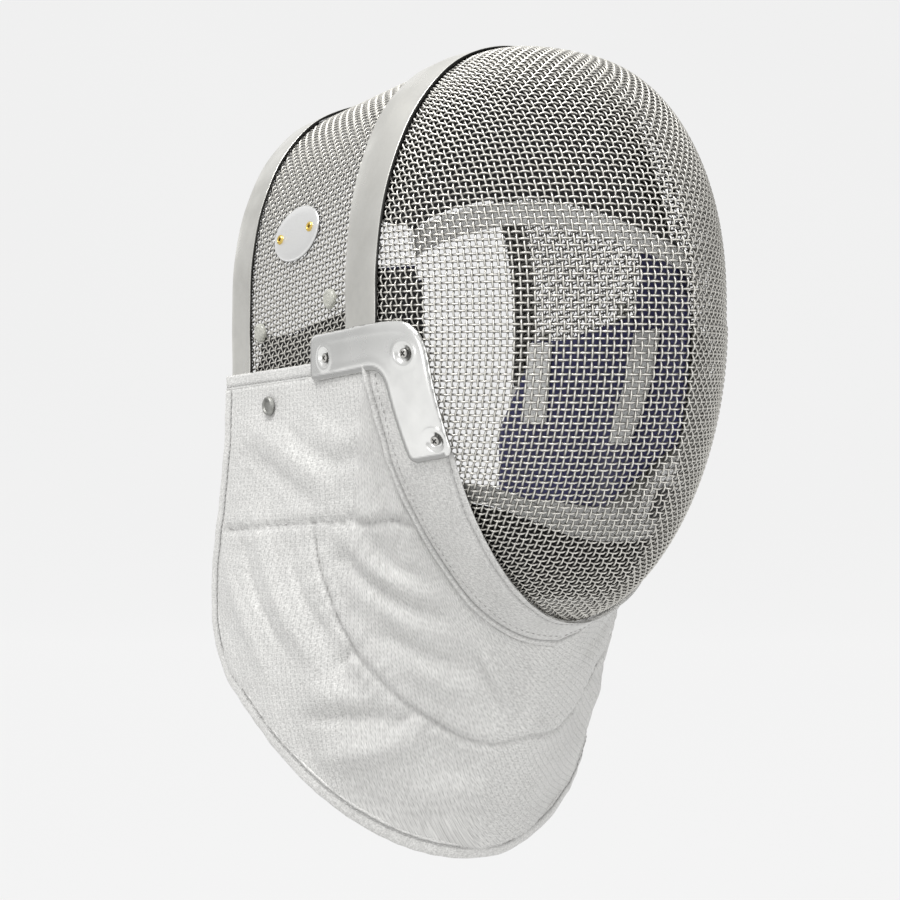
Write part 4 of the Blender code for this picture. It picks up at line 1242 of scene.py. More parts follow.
def build_jaw_strip(size):
    across = np.concatenate([
        np.linspace(0, 0.12, 7), np.linspace(0.16, 0.84, 15), np.linspace(0.87, 0.995, 9),
    ])
    grid = np.array([strip_line(a, 170) for a in across])
    v = run_down(grid)
    inner, outer = v, v[-1:] - v
    lift = -0.0005 * hump(inner - STRIP_LINE, 0.0008)
    lift -= 0.0006 * hump(outer - PIPING_WIDTH, 0.0009)
    lift += 0.0008 * np.clip(1 - ((outer - PIPING_WIDTH / 2) / (PIPING_WIDTH / 2)) ** 2, 0, 1)
    lift += 0.00035 * ripple(np.linspace(0, 26, grid.shape[1])[None], v / 0.02, 8)
    piece = pillow("jaw_strip_piped", grid, CLOTH_SEAT + STRIP_THICK, STRIP_THICK, 0.0016, lift)
    # Painted shade: the grooves of the inner stitch line and beside the piping are drawn darker.
    mark = 0.5 * hump(inner - STRIP_LINE, 0.0006)
    mark = np.maximum(mark, 0.8 * hump(outer - PIPING_WIDTH, 0.0006)).ravel()
    set_mark(piece, np.concatenate([mark, mark]))
    finish_piece(piece, silver_edging(size.silver), ["jaw_strip"])
    normal = surface_normals(grid)
    for name, depth, from_outer in (("inner", STRIP_LINE, False), ("outer", PIPING_WIDTH, True),
                                    ("second", PIPING_WIDTH + 0.0042, True)):
        level = outer if from_outer else inner
        pick = np.abs(level - depth).argmin(0)
        columns = np.arange(grid.shape[1])
        facing = normal[pick, columns]
        line = grid[pick, columns] + facing * (CLOTH_SEAT + STRIP_THICK + lift[pick, columns])[:, None]
        for _ in range(3):
            line[1:-1] = (line[:-2] + 2 * line[1:-1] + line[2:]) / 4
        stitch_row(f"jaw_strip_stitches_{name}", line, facing, size)


def build_top_trim(side, size):
    word = SIDES[side]
    y = np.linspace(BIB_REAR_Y, TRIM_FRONT_Y, 110)
    depth = np.linspace(0, TRIM_DEPTH, 15)
    x = side * (crown_width(y) + trim_lift(y) + TRIM_THICK)
    grid = places(x[None], y[None], trim_top(y)[None] - depth[:, None])
    groove = -0.0004 * hump(depth - TRIM_STITCH, 0.0007)
    lift = np.broadcast_to(groove[:, None], grid.shape[:2])
    lift = lift + 0.00018 * ripple(y[None] / 0.012, depth[:, None] / 0.02, 5 + side)
    piece = pillow(f"top_trim_{word}", grid, 0.0, TRIM_THICK, 0.0009, lift, round_face=True)
    # Painted shade: the stitch groove is drawn as a dark line.
    stitch_groove_shade = 0.7 * hump(depth - TRIM_STITCH, 0.0005)
    mark = np.broadcast_to(stitch_groove_shade[:, None], grid.shape[:2]).ravel()
    set_mark(piece, np.concatenate([mark, mark]))
    finish_piece(piece, silver_edging(size.silver), [f"top_binding_{word}"])
    row = int(np.abs(depth - TRIM_STITCH).argmin())
    normal = surface_normals(grid)[row]
    stitch_row(f"top_trim_stitches_{word}", grid[row] + normal * lift[row][:, None], normal, size)


def hem_path(side):
    """Places down the rear edge and along the hem to the middle, with the inward way at each."""
    drop = np.linspace(-0.004, 0.985, 90)
    share = np.linspace(0.006, 1, 170)
    rear = bib_point(np.zeros(90), drop, side)
    rear_in = bib_point(np.full(90, 0.03), drop, side) - rear
    foot = bib_point(share, np.ones(170), side)
    foot_in = bib_point(share, np.full(170, 0.95), side) - foot
    line = np.concatenate([rear, foot])
    inward = np.concatenate([unit(rear_in), unit(foot_in)])
    for _ in range(8):
        near = slice(82, 98)
        line[near] = (line[81:97] + 2 * line[near] + line[83:99]) / 4
        inward[near] = unit(inward[81:97] + 2 * inward[near] + inward[83:99])
    return line, inward


def build_hem(size):
    right, right_in = hem_path(-1)
    left, left_in = hem_path(1)
    line = np.concatenate([right, left[-2::-1]])
    inward = np.concatenate([right_in, left_in[-2::-1]])
    along = unit(np.gradient(line, axis=0))
    inward = unit(inward - along * (inward * along).sum(1, keepdims=True))
    out = unit(np.cross(inward, along))
    out *= np.sign((out * (line - np.array([0, 0, 1.0]) * line[:, 2:])).sum(1, keepdims=True))
    turn = np.arange(HEM_ROUND) / HEM_ROUND * math.tau
    power = 2 / 3.2
    depth = HEM_DEPTH / 2 * (1 - np.sign(np.cos(turn)) * np.abs(np.cos(turn)) ** power)
    high = HEM_THICK / 2 * np.sign(np.sin(turn)) * np.abs(np.sin(turn)) ** power
    high = high * (1 - 0.22 * depth / HEM_DEPTH)
    groove = 0.0005 * hump(depth - HEM_STITCH, 0.0007)
    high = high - np.sign(high) * groove
    rings = (
        line[:, None] + inward[:, None] * depth[None, :, None]
        + out[:, None] * (high[None] - BIB_THICK / 2)[..., None]
    )
    wave = 0.00022 * ripple(np.linspace(0, 55, len(line)), 0.3, 21)
    rings = rings + out[:, None] * wave[:, None, None]
    girth = run_along(rings[0])
    run = run_along(line)
    uv = np.stack(np.broadcast_arrays(run[:, None], girth[None]), -1)
    piece = loft("hem_tape", rings, uv)
    # Painted shade: the stitch groove is drawn as a dark line.
    mark = np.tile(hump(depth - HEM_STITCH, 0.0007), len(line))
    set_mark(piece, np.concatenate([mark, [0.0, 0.0]]))
    finish_piece(piece, silver_edging(size.silver), ["hem_binding"])
    top = line + inward * HEM_STITCH + out * (HEM_THICK / 2 * 0.86 - 0.0005 - BIB_THICK / 2 + wave[:, None])
    stitch_row("hem_stitches", top, out, size)


# ---------------------------------------------------------------- lining


def pad_edge(x):
    """Lower edge of the forehead pad, an arch from one temple to the other."""
    share = (x / PAD_HALF_WIDTH) ** 2
    return places(x, PAD_EDGE_Y - PAD_EDGE_SWEEP * share, PAD_EDGE_Z - PAD_EDGE_DROP * share)


def build_forehead_pad(size):
    """The pad that spans the mask over the brow, and the tape along its lower edge."""
    way = spoke(np.linspace(PAD_FIRST_ANGLE, 180 - PAD_FIRST_ANGLE, 100))
    tops = dome_hit(places(0.0, PAD_TOP_Y, CENTRE_Z), way) - way * (MESH_DEPTH + PAD_TOP_GAP)
    low = pad_edge(PAD_REACH * tops[:, 0] / abs(tops[0, 0]))
    rise = np.linspace(1, 0, 46)[:, None]
    grid = mix(low[None], tops[None], rise[..., None])
    lift = -0.0011 * (0.5 + 0.5 * ripple(np.linspace(0, 5, 100)[None], rise * 2, 3))
    piece = pillow("forehead_pad_soft", grid, 0.0, PAD_THICK, 0.0060, lift)
    finish_piece(piece, black_cloth(size.black), ["forehead_pad"])
    x = np.linspace(-TAPE_REACH, TAPE_REACH, 120)
    down = BINDING_DROP + np.linspace(0, BINDING_DEPTH, 13)
    grid = pad_edge(x)[None] + down[:, None, None] * np.array([0.0, -BINDING_LEAN, -1.0])
    piece = pillow("forehead_binding_tape", grid, 0.0, BINDING_THICK, 0.0028)
    finish_piece(piece, grey_tape(size.grey), ["forehead_binding"])


def chin_top(turn):
    return CHIN_TOP + CHIN_RISE * np.abs(np.cos(np.radians(turn))) ** CHIN_RISE_POWER


def build_chin_liner(size):
    turns = np.linspace(-9, 189, 120)
    share = np.linspace(0, 1, 14)
    grid = np.array([level_point(turns, mix(chin_top(turns), CHIN_FOOT, w), CHIN_HUB_Y) for w in share])
    piece = pillow("chin_liner_soft", grid, LINER_FACE, LINER_THICK, 0.0030)
    finish_piece(piece, black_cloth(size.black), ["chin_liner"])
    height = 0.0006 + np.linspace(0, CHIN_BINDING_RISE, 11)
    grid = np.array([level_point(turns, chin_top(turns) + h, CHIN_HUB_Y) for h in height[::-1]])
    piece = pillow("chin_binding_tape", grid, LINER_FACE, BINDING_THICK, 0.0026)
    finish_piece(piece, grey_tape(size.grey), ["chin_binding"])


def liner_top(y, side):
    base = np.maximum(LINER_TOP + LINER_SLOPE * (y - LINER_TOP_Y), LINER_TOP_LOW)
    tab = (y >= TAB_Y[side][0]) & (y <= TAB_Y[side][1])
    return np.where(tab, TAB_TOPS[side], base)


def build_side_liner(side, size):
    word = SIDES[side]
    tab = TAB_Y[side]
    ys = np.concatenate([
        np.linspace(LINER_FRONT_Y, tab[0] - 0.0012, 4), np.linspace(tab[0], tab[1], 22),
        np.linspace(tab[1] + 0.0012, LINER_REAR_Y, 46),
    ])
    depth = np.linspace(0, 1, 40)[:, None]
    foot = mix(LINER_FOOT_FRONT, LINER_FOOT_REAR, smooth((ys - LINER_FRONT_Y) / 0.050))
    z = mix(liner_top(ys, side)[None], foot[None], depth)
    flare = LINER_FLARE * smooth((LINER_TOP_LOW - z) / 0.060) * smooth(ys / LINER_REAR_Y)[None]
    y = np.broadcast_to(ys, z.shape)
    grid = places(side * wall_x(y, z), y + flare, z)
    lift = -0.0005 * (1 + ripple(y / 0.03, z / 0.03, 6 + side))
    piece = pillow(f"side_liner_{word}_soft", grid, LINER_FACE, LINER_THICK, 0.0036, lift)
    set_mark(piece, np.concatenate([np.ones(grid[..., 0].size), np.zeros(grid[..., 0].size)]))
    finish_piece(piece, navy_cloth(size.navy, size.black), [f"side_liner_{word}"])


def build_fastening_strips(size):
    for place, (centre_y, lean, top, foot) in STRIPS.items():
        z = np.linspace(top, foot, 30)[:, None]
        y = centre_y + lean * (top - z) + np.linspace(-0.5, 0.5, 15)[None] * TAPE_WIDTH
        z = np.broadcast_to(z, y.shape)
        grid = places(wall_x(y, z), y, z)
        face = LINER_FACE - LINER_THICK - 0.0008
        piece = pillow(f"fastening_strip_{place}_tape", grid, face, TAPE_THICK, 0.0012)
        finish_piece(piece, grey_tape(size.grey), [f"fastening_strip_{place}"])


# ---------------------------------------------------------------- finishes


def feed(tree, node, inputs):
    """Each input gets a value, or a link from another node's output."""
    for key, value in inputs.items():
        if isinstance(value, bpy.types.NodeSocket):
            tree.links.new(value, node.inputs[key])
        else:
            node.inputs[key].default_value = value


def add(tree, kind, inputs=None, **settings):
    """A node with its settings and inputs."""
    node = tree.nodes.new(kind)
    for key, value in settings.items():
        setattr(node, key, value)
    feed(tree, node, inputs or {})
    return node


def work_out(tree, operation, *values):
    """The result of one math node."""
    return add(tree, "ShaderNodeMath", dict(enumerate(values)), operation=operation).outputs[0]


def between(tree, value, low, high):
    """How far a value is from one limit to the other, from 0 to 1."""
    limits = {"Value": value, "From Min": low, "From Max": high}
    return add(tree, "ShaderNodeMapRange", limits).outputs["Result"]


def shade_group(name, inputs, outputs, build):
    """A shader node group with named float sockets, built once."""
    tree = bpy.data.node_groups.get(name)
    if tree:
        return tree
    tree = bpy.data.node_groups.new(name, "ShaderNodeTree")
    for socket, value in inputs.items():
        entry = tree.interface.new_socket(socket, in_out="INPUT", socket_type="NodeSocketFloat")
        entry.default_value = value
    for socket in outputs:
        tree.interface.new_socket(socket, in_out="OUTPUT", socket_type="NodeSocketFloat")
    given = tree.nodes.new("NodeGroupInput")
    result = tree.nodes.new("NodeGroupOutput")
    for socket, source in build(tree, given).items():
        tree.links.new(source, result.inputs[socket])
    return tree


def uneven_tone():
    """Slow blotches over a surface, from 0 to 1, on object coordinates."""

    def build(tree, given):
        place = add(tree, "ShaderNodeTexCoord").outputs["Object"]
        inputs = {"Vector": place, "Scale": given.outputs["Scale"], "Detail": 4.0}
        noise = add(tree, "ShaderNodeTexNoise", inputs).outputs["Fac"]
        return {"Factor": between(tree, noise, 0.35, 0.65)}

    return shade_group("Uneven tone", {"Scale": 40.0}, ("Factor",), build)


def thread_grain():
    """Crossing threads of a fine cloth, on a surface measured in metres."""

    def build(tree, given):
        place = add(tree, "ShaderNodeTexCoord").outputs["UV"]
        split = add(tree, "ShaderNodeSeparateXYZ", {"Vector": place})
        close = work_out(tree, "DIVIDE", 1.0, given.outputs["Pitch"])

        def threads(along, across):
            """Threads as uneven streaks, three times as long as they are wide."""
            stretch = add(tree, "ShaderNodeCombineXYZ", {"X": along, "Y": across, "Z": 1.0}).outputs["Vector"]
            laid = add(tree, "ShaderNodeVectorMath", {0: place, 1: stretch}, operation="MULTIPLY")
            inputs = {"Vector": laid.outputs["Vector"], "Scale": close, "Detail": 1.0}
            return add(tree, "ShaderNodeTexNoise", inputs).outputs["Fac"]

        weft = threads(0.45, 1.4)
        warp = threads(1.4, 0.45)
        woven = work_out(tree, "ADD", weft, warp)
        fine = {"Vector": place, "Scale": 1100.0, "Detail": 2.0}
        fuzz = add(tree, "ShaderNodeTexNoise", fine).outputs["Fac"]
        total = work_out(tree, "MULTIPLY_ADD", fuzz, 0.8, woven)
        height = work_out(tree, "ADD", total, -0.9)
        column = work_out(tree, "MULTIPLY", split.outputs["X"], math.tau / LINE_PITCH)
        column = work_out(tree, "SINE", column)
        dash = work_out(tree, "MULTIPLY", split.outputs["Y"], math.tau / DASH_PITCH)
        dash = work_out(tree, "SINE", dash)
        narrow = between(tree, column, 0.80, 1.0)
        broken = between(tree, dash, -0.6, 0.2)
        lines = work_out(tree, "MULTIPLY", narrow, broken)
        return {"Height": height, "Lines": lines}

    return shade_group("Thread grain", {"Pitch": 0.001}, ("Height", "Lines"), build)


def vertex_mark():
    """Painted shade, and the side linings' black outer face, as stored on a piece's points, from 0 to 1."""

    def build(tree, given):
        mark = add(tree, "ShaderNodeAttribute", attribute_name="mark").outputs["Fac"]
        return {"Factor": work_out(tree, "MULTIPLY", mark, given.outputs["Strength"])}

    return shade_group("Vertex mark", {"Strength": 1.0}, ("Factor",), build)


def placed(tree, group, **values):
    node = tree.nodes.new("ShaderNodeGroup")
    node.node_tree = group
    for key, value in values.items():
        node.inputs[key].default_value = value
    return node


def new_finish(name, values):
    """A material's tree and its shader, with constant values on the shader's own sockets."""
    material = bpy.data.materials.new(name)
    material.use_nodes = True
    tree = material.node_tree
    shader = tree.nodes["Principled BSDF"]
    for key, value in values.items():
        shader.inputs[key].default_value = value
    return material, tree, shader


def blend(tree, factor, first, second):
    node = tree.nodes.new("ShaderNodeMix")
    node.data_type = "RGBA"
    feed(tree, node, {"Factor": factor, 6: first, 7: second})
    return node.outputs[2]


def shaded(colour, factor):
    return (colour[0] * factor, colour[1] * factor, colour[2] * factor, 1.0)


def metal(name, colour, rough, rough_spread, scale, dark, mark=0.0, mark_tone=0.12):
    known = bpy.data.materials.get(name)
    if known:
        return known
    material, tree, shader = new_finish(name, {"Metallic": 1.0})
    tone = placed(tree, uneven_tone(), Scale=scale).outputs["Factor"]
    base = blend(tree, tone, shaded(colour, dark), shaded(colour, 1.0))
    if mark:
        marked = placed(tree, vertex_mark(), Strength=mark).outputs["Factor"]
        base = blend(tree, marked, base, shaded(colour, mark_tone))
    tree.links.new(base, shader.inputs["Base Color"])
    limits = {"Value": tone, "To Min": rough + rough_spread, "To Max": rough}
    spread = add(tree, "ShaderNodeMapRange", limits)
    tree.links.new(spread.outputs["Result"], shader.inputs["Roughness"])
    return material


# Its marks are painted shade on the wires' sides and undersides.
def wire_steel(colour):
    return metal("Woven steel wire", colour, 0.44, 0.10, 220.0, 0.84, mark=1.4, mark_tone=0.14)


# Its marks are painted shade, near black on the bands' sides and undersides.
def satin_steel(colour):
    return metal("Satin steel band", colour, 0.25, 0.20, 46.0, 0.74, mark=1.0, mark_tone=0.02)


# Its marks are painted shade along the brackets' turned edges and under them.
def pressed_steel(colour):
    return metal("Pressed bracket steel", colour, 0.17, 0.12, 60.0, 0.88, mark=1.0, mark_tone=0.44)


# Its marks are painted shade in the rivets' crosses and round their rims.
def rivet_steel(colour):
    return metal("Rivet steel", colour, 0.30, 0.10, 200.0, 0.85, mark=0.9, mark_tone=0.06)


# Its marks are painted shade in the eyelets' holes, along the badge's edge and under it.
def badge_metal(colour):
    return metal("Bare badge metal", colour, 0.34, 0.08, 120.0, 0.94, mark=1.0, mark_tone=0.05)


def brass(colour):
    return metal("Brass eyelet", colour, 0.22, 0.08, 260.0, 0.9)


def snap_metal(colour):
    return metal("Snap fastener", colour, 0.55, 0.10, 300.0, 0.70)


def clear_plastic(colour):
    known = bpy.data.materials.get("Milky plastic")
    if known:
        return known
    values = {"Roughness": 0.22, "Metallic": 0.0, "Transmission Weight": 0.45, "IOR": 1.46}
    material, tree, shader = new_finish("Milky plastic", values)
    tone = placed(tree, uneven_tone(), Scale=260.0).outputs["Factor"]
    base = blend(tree, tone, shaded(colour, 0.88), shaded(colour, 1.0))
    tree.links.new(base, shader.inputs["Base Color"])
    return material


def cloth(name, colour, other, rough, pitch, depth, blotch, values=None, lines=0.0, marked=None):
    known = bpy.data.materials.get(name)
    if known:
        return known
    material, tree, shader = new_finish(name, {"Roughness": rough, **(values or {})})
    threads = placed(tree, thread_grain(), Pitch=pitch)
    grain = threads.outputs["Height"]
    tone = placed(tree, uneven_tone(), Scale=blotch).outputs["Factor"]
    toned = blend(tree, tone, other, shaded(colour, 1.0))
    shade = between(tree, grain, 0.25, 0.75)
    base = blend(tree, shade, blend(tree, 0.30, toned, (0.0, 0.0, 0.0, 1.0)), toned)
    if lines:
        drawn = work_out(tree, "MULTIPLY", threads.outputs["Lines"], lines)
        base = blend(tree, drawn, base, shaded(colour, 0.45))
    if marked:
        place = placed(tree, vertex_mark(), Strength=marked[0]).outputs["Factor"]
        base = blend(tree, place, base, marked[1])
    tree.links.new(base, shader.inputs["Base Color"])
    bump = add(tree, "ShaderNodeBump", {"Height": grain, "Strength": 0.5, "Distance": depth})
    tree.links.new(bump.outputs["Normal"], shader.inputs["Normal"])
    return material


# Its marks are painted shade in the bib's seams.
def silver_cloth(colour):
    return cloth("Silver cloth", colour, shaded(colour, 0.93), 0.50, 0.0009, 0.00040, 35.0,
                 {"Metallic": 0.15, "Sheen Weight": 0.1}, lines=0.75, marked=(0.40, shaded(colour, 0.40)))


# Its marks are painted shade in the grooves of its stitch lines and piping.
def silver_edging(colour):
    return cloth("Silver cloth edging", colour, shaded(colour, 0.93), 0.50, 0.0009, 0.00040, 50.0,
                 {"Metallic": 0.15, "Sheen Weight": 0.1}, marked=(0.75, shaded(colour, 0.25)))


def navy_cloth(colour, black):
    return cloth("Navy lining", colour, shaded(colour, 0.5), 0.8, 0.0012, 0.0003, 18.0,
                 {"Sheen Weight": 0.1}, marked=(1.0, shaded(black, 1.0)))


def black_cloth(colour):
    return cloth("Black lining", colour, shaded(colour, 0.6), 0.88, 0.0013, 0.0003, 30.0,
                 {"Sheen Weight": 0.08})


def grey_tape(colour):
    return cloth("Grey tape", colour, shaded(colour, 0.85), 0.7, 0.0014, 0.0003, 40.0)


def sewing_thread(colour):
    return cloth("Sewing thread", colour, shaded(colour, 0.8), 0.6, 0.0008, 0.0001, 90.0)


# ---------------------------------------------------------------- stage


def build_stage(size):
    scene = bpy.context.scene
    floor = STAGE_FLOOR_Z
    turn = np.linspace(-math.pi / 2, 0, 24)
    reach = np.concatenate([[-4.0, -2.0, 0.0, 1.2], 2.6 + 1.6 * np.cos(turn), [4.2, 4.2]])
    height = np.concatenate([[floor] * 4, floor + 1.6 + 1.6 * np.sin(turn), [floor + 4.0, floor + 7.0]])
    across = np.linspace(-7, 7, 15)
    ahead = np.array(CAMERA_AHEAD)
    forward = unit(np.array([ahead[0], ahead[1], 0.0]))
    right = np.array([forward[1], -forward[0], 0.0])
    points = (
        reach[:, None, None] * forward + across[None, :, None] * right
        + height[:, None, None] * np.array([0.0, 0.0, 1.0])
    )
    index = np.arange(len(reach) * len(across)).reshape(len(reach), len(across))
    sweep = raw_mesh("backdrop", points.reshape(-1, 3), grid_quads(index).tolist(), None, None)
    material, tree, shader = new_finish("Pale backdrop", {"Roughness": 0.9, "Emission Strength": size.glow})
    tone = placed(tree, uneven_tone(), Scale=0.6).outputs["Factor"]
    base = blend(tree, tone, shaded(size.backdrop, 0.05), shaded(size.backdrop, 0.055))
    tree.links.new(base, shader.inputs["Base Color"])
    glow = blend(tree, tone, shaded(size.backdrop, 0.995), shaded(size.backdrop, 1.0))
    tree.links.new(glow, shader.inputs["Emission Color"])
    sweep.data.materials.append(material)
    for name, place, energy, width in (
        ("key light", KEY_PLACE, size.key_power, 0.8),
        ("fill light", FILL_PLACE, size.fill_power, 1.6),
        ("top light", TOP_PLACE, size.top_power, 1.4),
        ("side light", SIDE_PLACE, size.side_power, 0.5),
    ):
        lamp = bpy.data.lights.new(name, "AREA")
        lamp.energy = energy
        lamp.size = width
        holder = bpy.data.objects.new(name, lamp)
        holder.location = place
        aim = Vector(STAGE_AIM) - Vector(place)
        holder.rotation_euler = aim.to_track_quat("-Z", "Y").to_euler()
        scene.collection.objects.link(holder)
    world = bpy.data.worlds.new("pale room")
    world.use_nodes = True
    room = world.node_tree
    way = add(room, "ShaderNodeTexCoord").outputs["Generated"]
    towards = add(room, "ShaderNodeVectorMath", {0: way, 1: BRIGHT_WAY}, operation="DOT_PRODUCT")
    share = between(room, towards.outputs["Value"], -0.35, 0.75)
    light = blend(room, share, shaded(size.backdrop, size.dark_side), shaded(size.backdrop, 1.0))
    room.links.new(light, room.nodes["Background"].inputs["Color"])
    room.nodes["Background"].inputs["Strength"].default_value = size.room_light
    scene.world = world
    scene.view_settings.view_transform = "Standard"
    data = bpy.data.cameras.new("photo camera")
    data.lens = CAMERA_LENS
    data.sensor_width = CAMERA_SENSOR
    data.clip_start = 0.01
    camera = bpy.data.objects.new("photo camera", data)
    ahead = Vector(CAMERA_AHEAD).normalized()
    sideways = ahead.cross(Vector((0, 0, 1))).normalized()
    up = sideways.cross(ahead)
    facing = Matrix((sideways, up, -ahead)).transposed().to_4x4()
    camera.matrix_world = Matrix.Translation(CAMERA_PLACE) @ facing
    scene.collection.objects.link(camera)
    scene.camera = camera


# ---------------------------------------------------------------- sizes and colours


def colour_property(name, description, default):
    return FloatVectorProperty(
        name=name, description=description, default=default, size=3, min=0, max=1, subtype="COLOR"
    )


def length_property(name, description, default):
    return FloatProperty(
        name=name, description=description, default=default,
        min=0, precision=5, subtype="DISTANCE", unit="LENGTH",
    )


def power_property(name, description, default):
    return FloatProperty(name=name, description=description, default=default, unit="POWER")


def share_property(name, description, default):
    return FloatProperty(name=name, description=description, default=default)


class MaskWireSizes(bpy.types.PropertyGroup):
    pitch: length_property("Pitch", "Distance between neighbouring wires of the mesh", 0.00293)
    wire: length_property("Wire", "Thickness of one wire", 0.00102)
    wire_colour: colour_property("Wire colour", "Colour of the woven wire", (0.90, 0.88, 0.825))


class MaskSteelSizes(bpy.types.PropertyGroup):
    band_thick: length_property("Band", "Thickness of the two steel bands", 0.0012)
    band_dents: length_property("Band dents", "Depth of the soft dents in the two bands", 0.00016)
    plate_facet: length_property("Facet", "Size of the facets of the pressed brackets", 0.0007)
    band_colour: colour_property("Band colour", "Colour of the satin bands", (0.87, 0.86, 0.815))
    bracket_colour: colour_property("Bracket colour", "Colour of the pressed brackets", (0.94, 0.94, 0.92))
    rivet_colour: colour_property("Rivet colour", "Colour of the rivet heads", (0.62, 0.61, 0.58))
    badge_colour: colour_property("Badge colour", "Colour of the bare oval badge", (0.97, 0.97, 0.96))
    brass_colour: colour_property("Brass", "Colour of the badge's eyelets", (0.72, 0.52, 0.14))
    snap_colour: colour_property("Snap colour", "Colour of the strap fasteners", (0.40, 0.40, 0.38))
    clip_colour: colour_property("Clip colour", "Colour of the milky lining clips", (0.66, 0.66, 0.60))


class MaskClothSizes(bpy.types.PropertyGroup):
    stitch: length_property("Stitch", "Length of one stitch", 0.0022)
    stitch_gap: length_property("Gap", "Distance between two stitches", 0.0010)
    thread: length_property("Thread", "Thickness of the sewing thread", 0.00050)
    seam_depth: length_property("Seam depth", "Depth of the seams sewn into the bib", 0.0011)
    seam_width: length_property("Seam width", "Half-width of the seams sewn into the bib", 0.0016)
    fold_share: FloatProperty(
        name="Folds", description="Strength of the bib's soft folds", default=1.2, min=0,
    )
    wrinkle: length_property("Wrinkles", "Height of the bib's small wrinkles", 0.0005)
    silver: colour_property("Silver cloth", "Colour of the outer cloth", (0.73, 0.725, 0.705))
    thread_colour: colour_property("Thread colour", "Colour of the stitches", (0.62, 0.615, 0.60))


class MaskLiningColours(bpy.types.PropertyGroup):
    black: colour_property("Black", "Colour of the black padding", (0.012, 0.012, 0.014))
    navy: colour_property("Navy", "Colour of the side linings", (0.022, 0.022, 0.120))
    grey: colour_property("Grey", "Colour of the binding tapes", (0.86, 0.86, 0.84))


class MaskStageSizes(bpy.types.PropertyGroup):
    key_power: power_property("Key light", "Power of the main light", 34.0)
    fill_power: power_property("Fill light", "Power of the fill light", 14.0)
    top_power: power_property("Top light", "Power of the light overhead", 4.5)
    side_power: power_property("Side light", "Power of the light that the steel mirrors", 1.6)
    room_light: share_property("Room light", "Strength of the light all round", 0.80)
    dark_side: share_property("Dark side", "Share of that light from the dark side", 0.20)
    glow: share_property("Glow", "Light that the backdrop itself gives off", 0.915)
    backdrop: colour_property("Backdrop", "Colour of the floor and the backdrop", (0.90, 0.90, 0.90))


# ---------------------------------------------------------------- operators


class MASK_OT_face(bpy.types.Operator):
    """Weave the wire mesh over the face"""

    bl_idname = "mask.face_mesh"
    bl_label = "Face mesh"

    def execute(self, context):
        build_face_mesh(context.scene.mask_wire)
        return {"FINISHED"}


class MASK_OT_crown(bpy.types.Operator):
    """Weave the wire mesh over the top and the sides of the head"""

    bl_idname = "mask.crown_mesh"
    bl_label = "Crown mesh"

    def execute(self, context):
        build_crown_mesh(context.scene.mask_wire)
        return {"FINISHED"}


class MASK_OT_bands(bpy.types.Operator):
    """Bend the two steel bands over the head"""

    bl_idname = "mask.bands"
    bl_label = "Steel bands"

    def execute(self, context):
        build_band("front_band", FRONT_BAND_Y, FRONT_BAND_FOOT, context.scene.mask_steel)
        build_band("rear_band", REAR_BAND_Y, REAR_BAND_FOOT, context.scene.mask_steel)
        return {"FINISHED"}


class MASK_OT_brackets(bpy.types.Operator):
    """Press the corner brackets and set their rivets"""

    bl_idname = "mask.brackets"
    bl_label = "Corner brackets"

    def execute(self, context):
        for side in SIDES:
            build_bracket(side, context.scene.mask_steel)
        return {"FINISHED"}


class MASK_OT_badge(bpy.types.Operator):
    """Set the bare oval badge and its two eyelets"""

    bl_idname = "mask.badge"
    bl_label = "Badge"

    def execute(self, context):
        build_badge(context.scene.mask_steel)
        return {"FINISHED"}


class MASK_OT_fasteners(bpy.types.Operator):
    """Set the lining clips and the strap snaps"""

    bl_idname = "mask.fasteners"
    bl_label = "Clips and snaps"

    def execute(self, context):
        build_fasteners(context.scene.mask_steel)
        return {"FINISHED"}


class MASK_OT_bib(bpy.types.Operator):
    """Quilt the bib under the chin"""

    bl_idname = "mask.bib"
    bl_label = "Bib"

    def execute(self, context):
        build_bib(context.scene.mask_cloth)
        return {"FINISHED"}


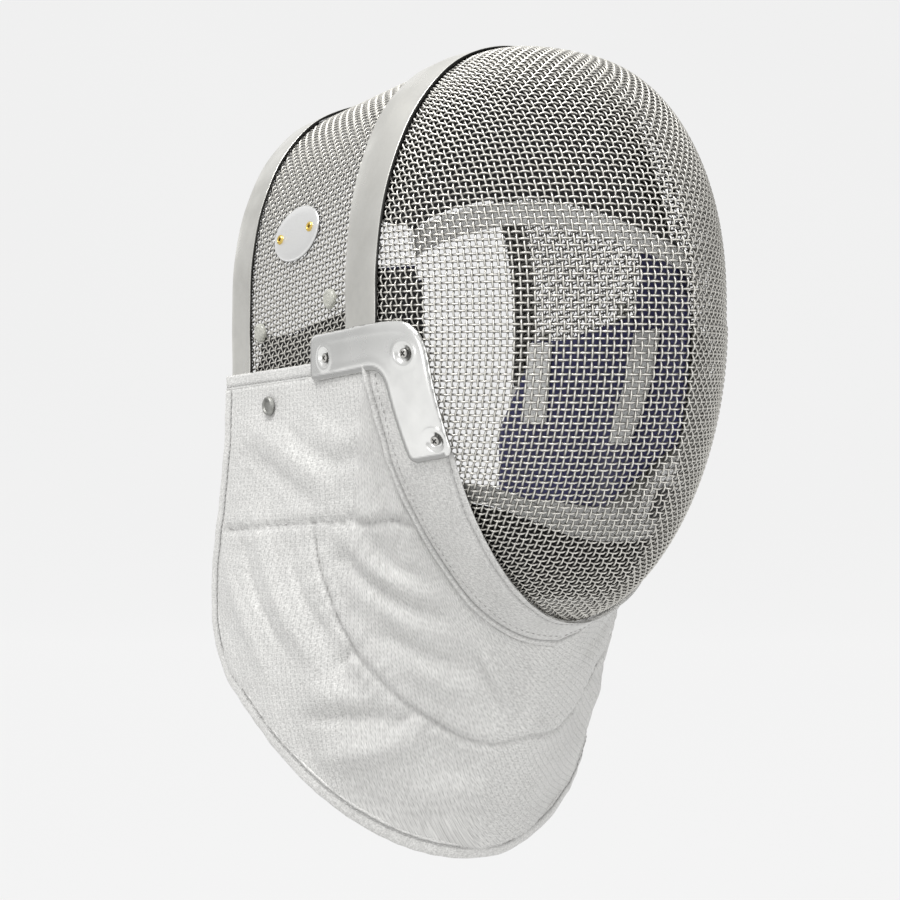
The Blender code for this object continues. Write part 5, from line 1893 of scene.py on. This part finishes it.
class MASK_OT_edges(bpy.types.Operator):
    """Sew the jaw strip, the trims under the side mesh and the hem's tape"""

    bl_idname = "mask.cloth_edges"
    bl_label = "Strip, trims and hem"

    def execute(self, context):
        size = context.scene.mask_cloth
        build_jaw_strip(size)
        for side in SIDES:
            build_top_trim(side, size)
        build_hem(size)
        return {"FINISHED"}


class MASK_OT_lining(bpy.types.Operator):
    """Fit the padding, the side linings and their tapes"""

    bl_idname = "mask.lining"
    bl_label = "Lining"

    def execute(self, context):
        size = context.scene.mask_lining
        build_forehead_pad(size)
        build_chin_liner(size)
        for side in SIDES:
            build_side_liner(side, size)
        build_fastening_strips(size)
        return {"FINISHED"}


class MASK_OT_stage(bpy.types.Operator):
    """Set up the pale backdrop, the lights and the camera"""

    bl_idname = "mask.stage"
    bl_label = "Stage"

    def execute(self, context):
        build_stage(context.scene.mask_stage)
        return {"FINISHED"}


class MASK_PT_sidebar(bpy.types.Panel):
    bl_idname = "MASK_PT_sidebar"
    bl_label = "Fencing mask"
    bl_space_type = "VIEW_3D"
    bl_region_type = "UI"
    bl_category = "Mask"

    def draw(self, context):
        layout = self.layout
        for operator in OPERATORS:
            layout.operator(operator.bl_idname)
        for name in SETTINGS:
            group = getattr(context.scene, name)
            box = layout.box()
            for field in group.__annotations__:
                box.prop(group, field)


OPERATORS = (
    MASK_OT_face,
    MASK_OT_crown,
    MASK_OT_bands,
    MASK_OT_brackets,
    MASK_OT_badge,
    MASK_OT_fasteners,
    MASK_OT_bib,
    MASK_OT_edges,
    MASK_OT_lining,
    MASK_OT_stage,
)
SETTINGS = {
    "mask_wire": MaskWireSizes,
    "mask_steel": MaskSteelSizes,
    "mask_cloth": MaskClothSizes,
    "mask_lining": MaskLiningColours,
    "mask_stage": MaskStageSizes,
}
CLASSES = (*SETTINGS.values(), *OPERATORS, MASK_PT_sidebar)


def register():
    for cls in CLASSES:
        bpy.utils.register_class(cls)
    for name, group in SETTINGS.items():
        setattr(bpy.types.Scene, name, PointerProperty(type=group))


def unregister():
    for name in SETTINGS:
        delattr(bpy.types.Scene, name)
    for cls in reversed(CLASSES):
        bpy.utils.unregister_class(cls)


def main():
    register()
    for operator in OPERATORS:
        group, name = operator.bl_idname.split(".")
        getattr(getattr(bpy.ops, group), name)()


if __name__ == "__main__":
    main()
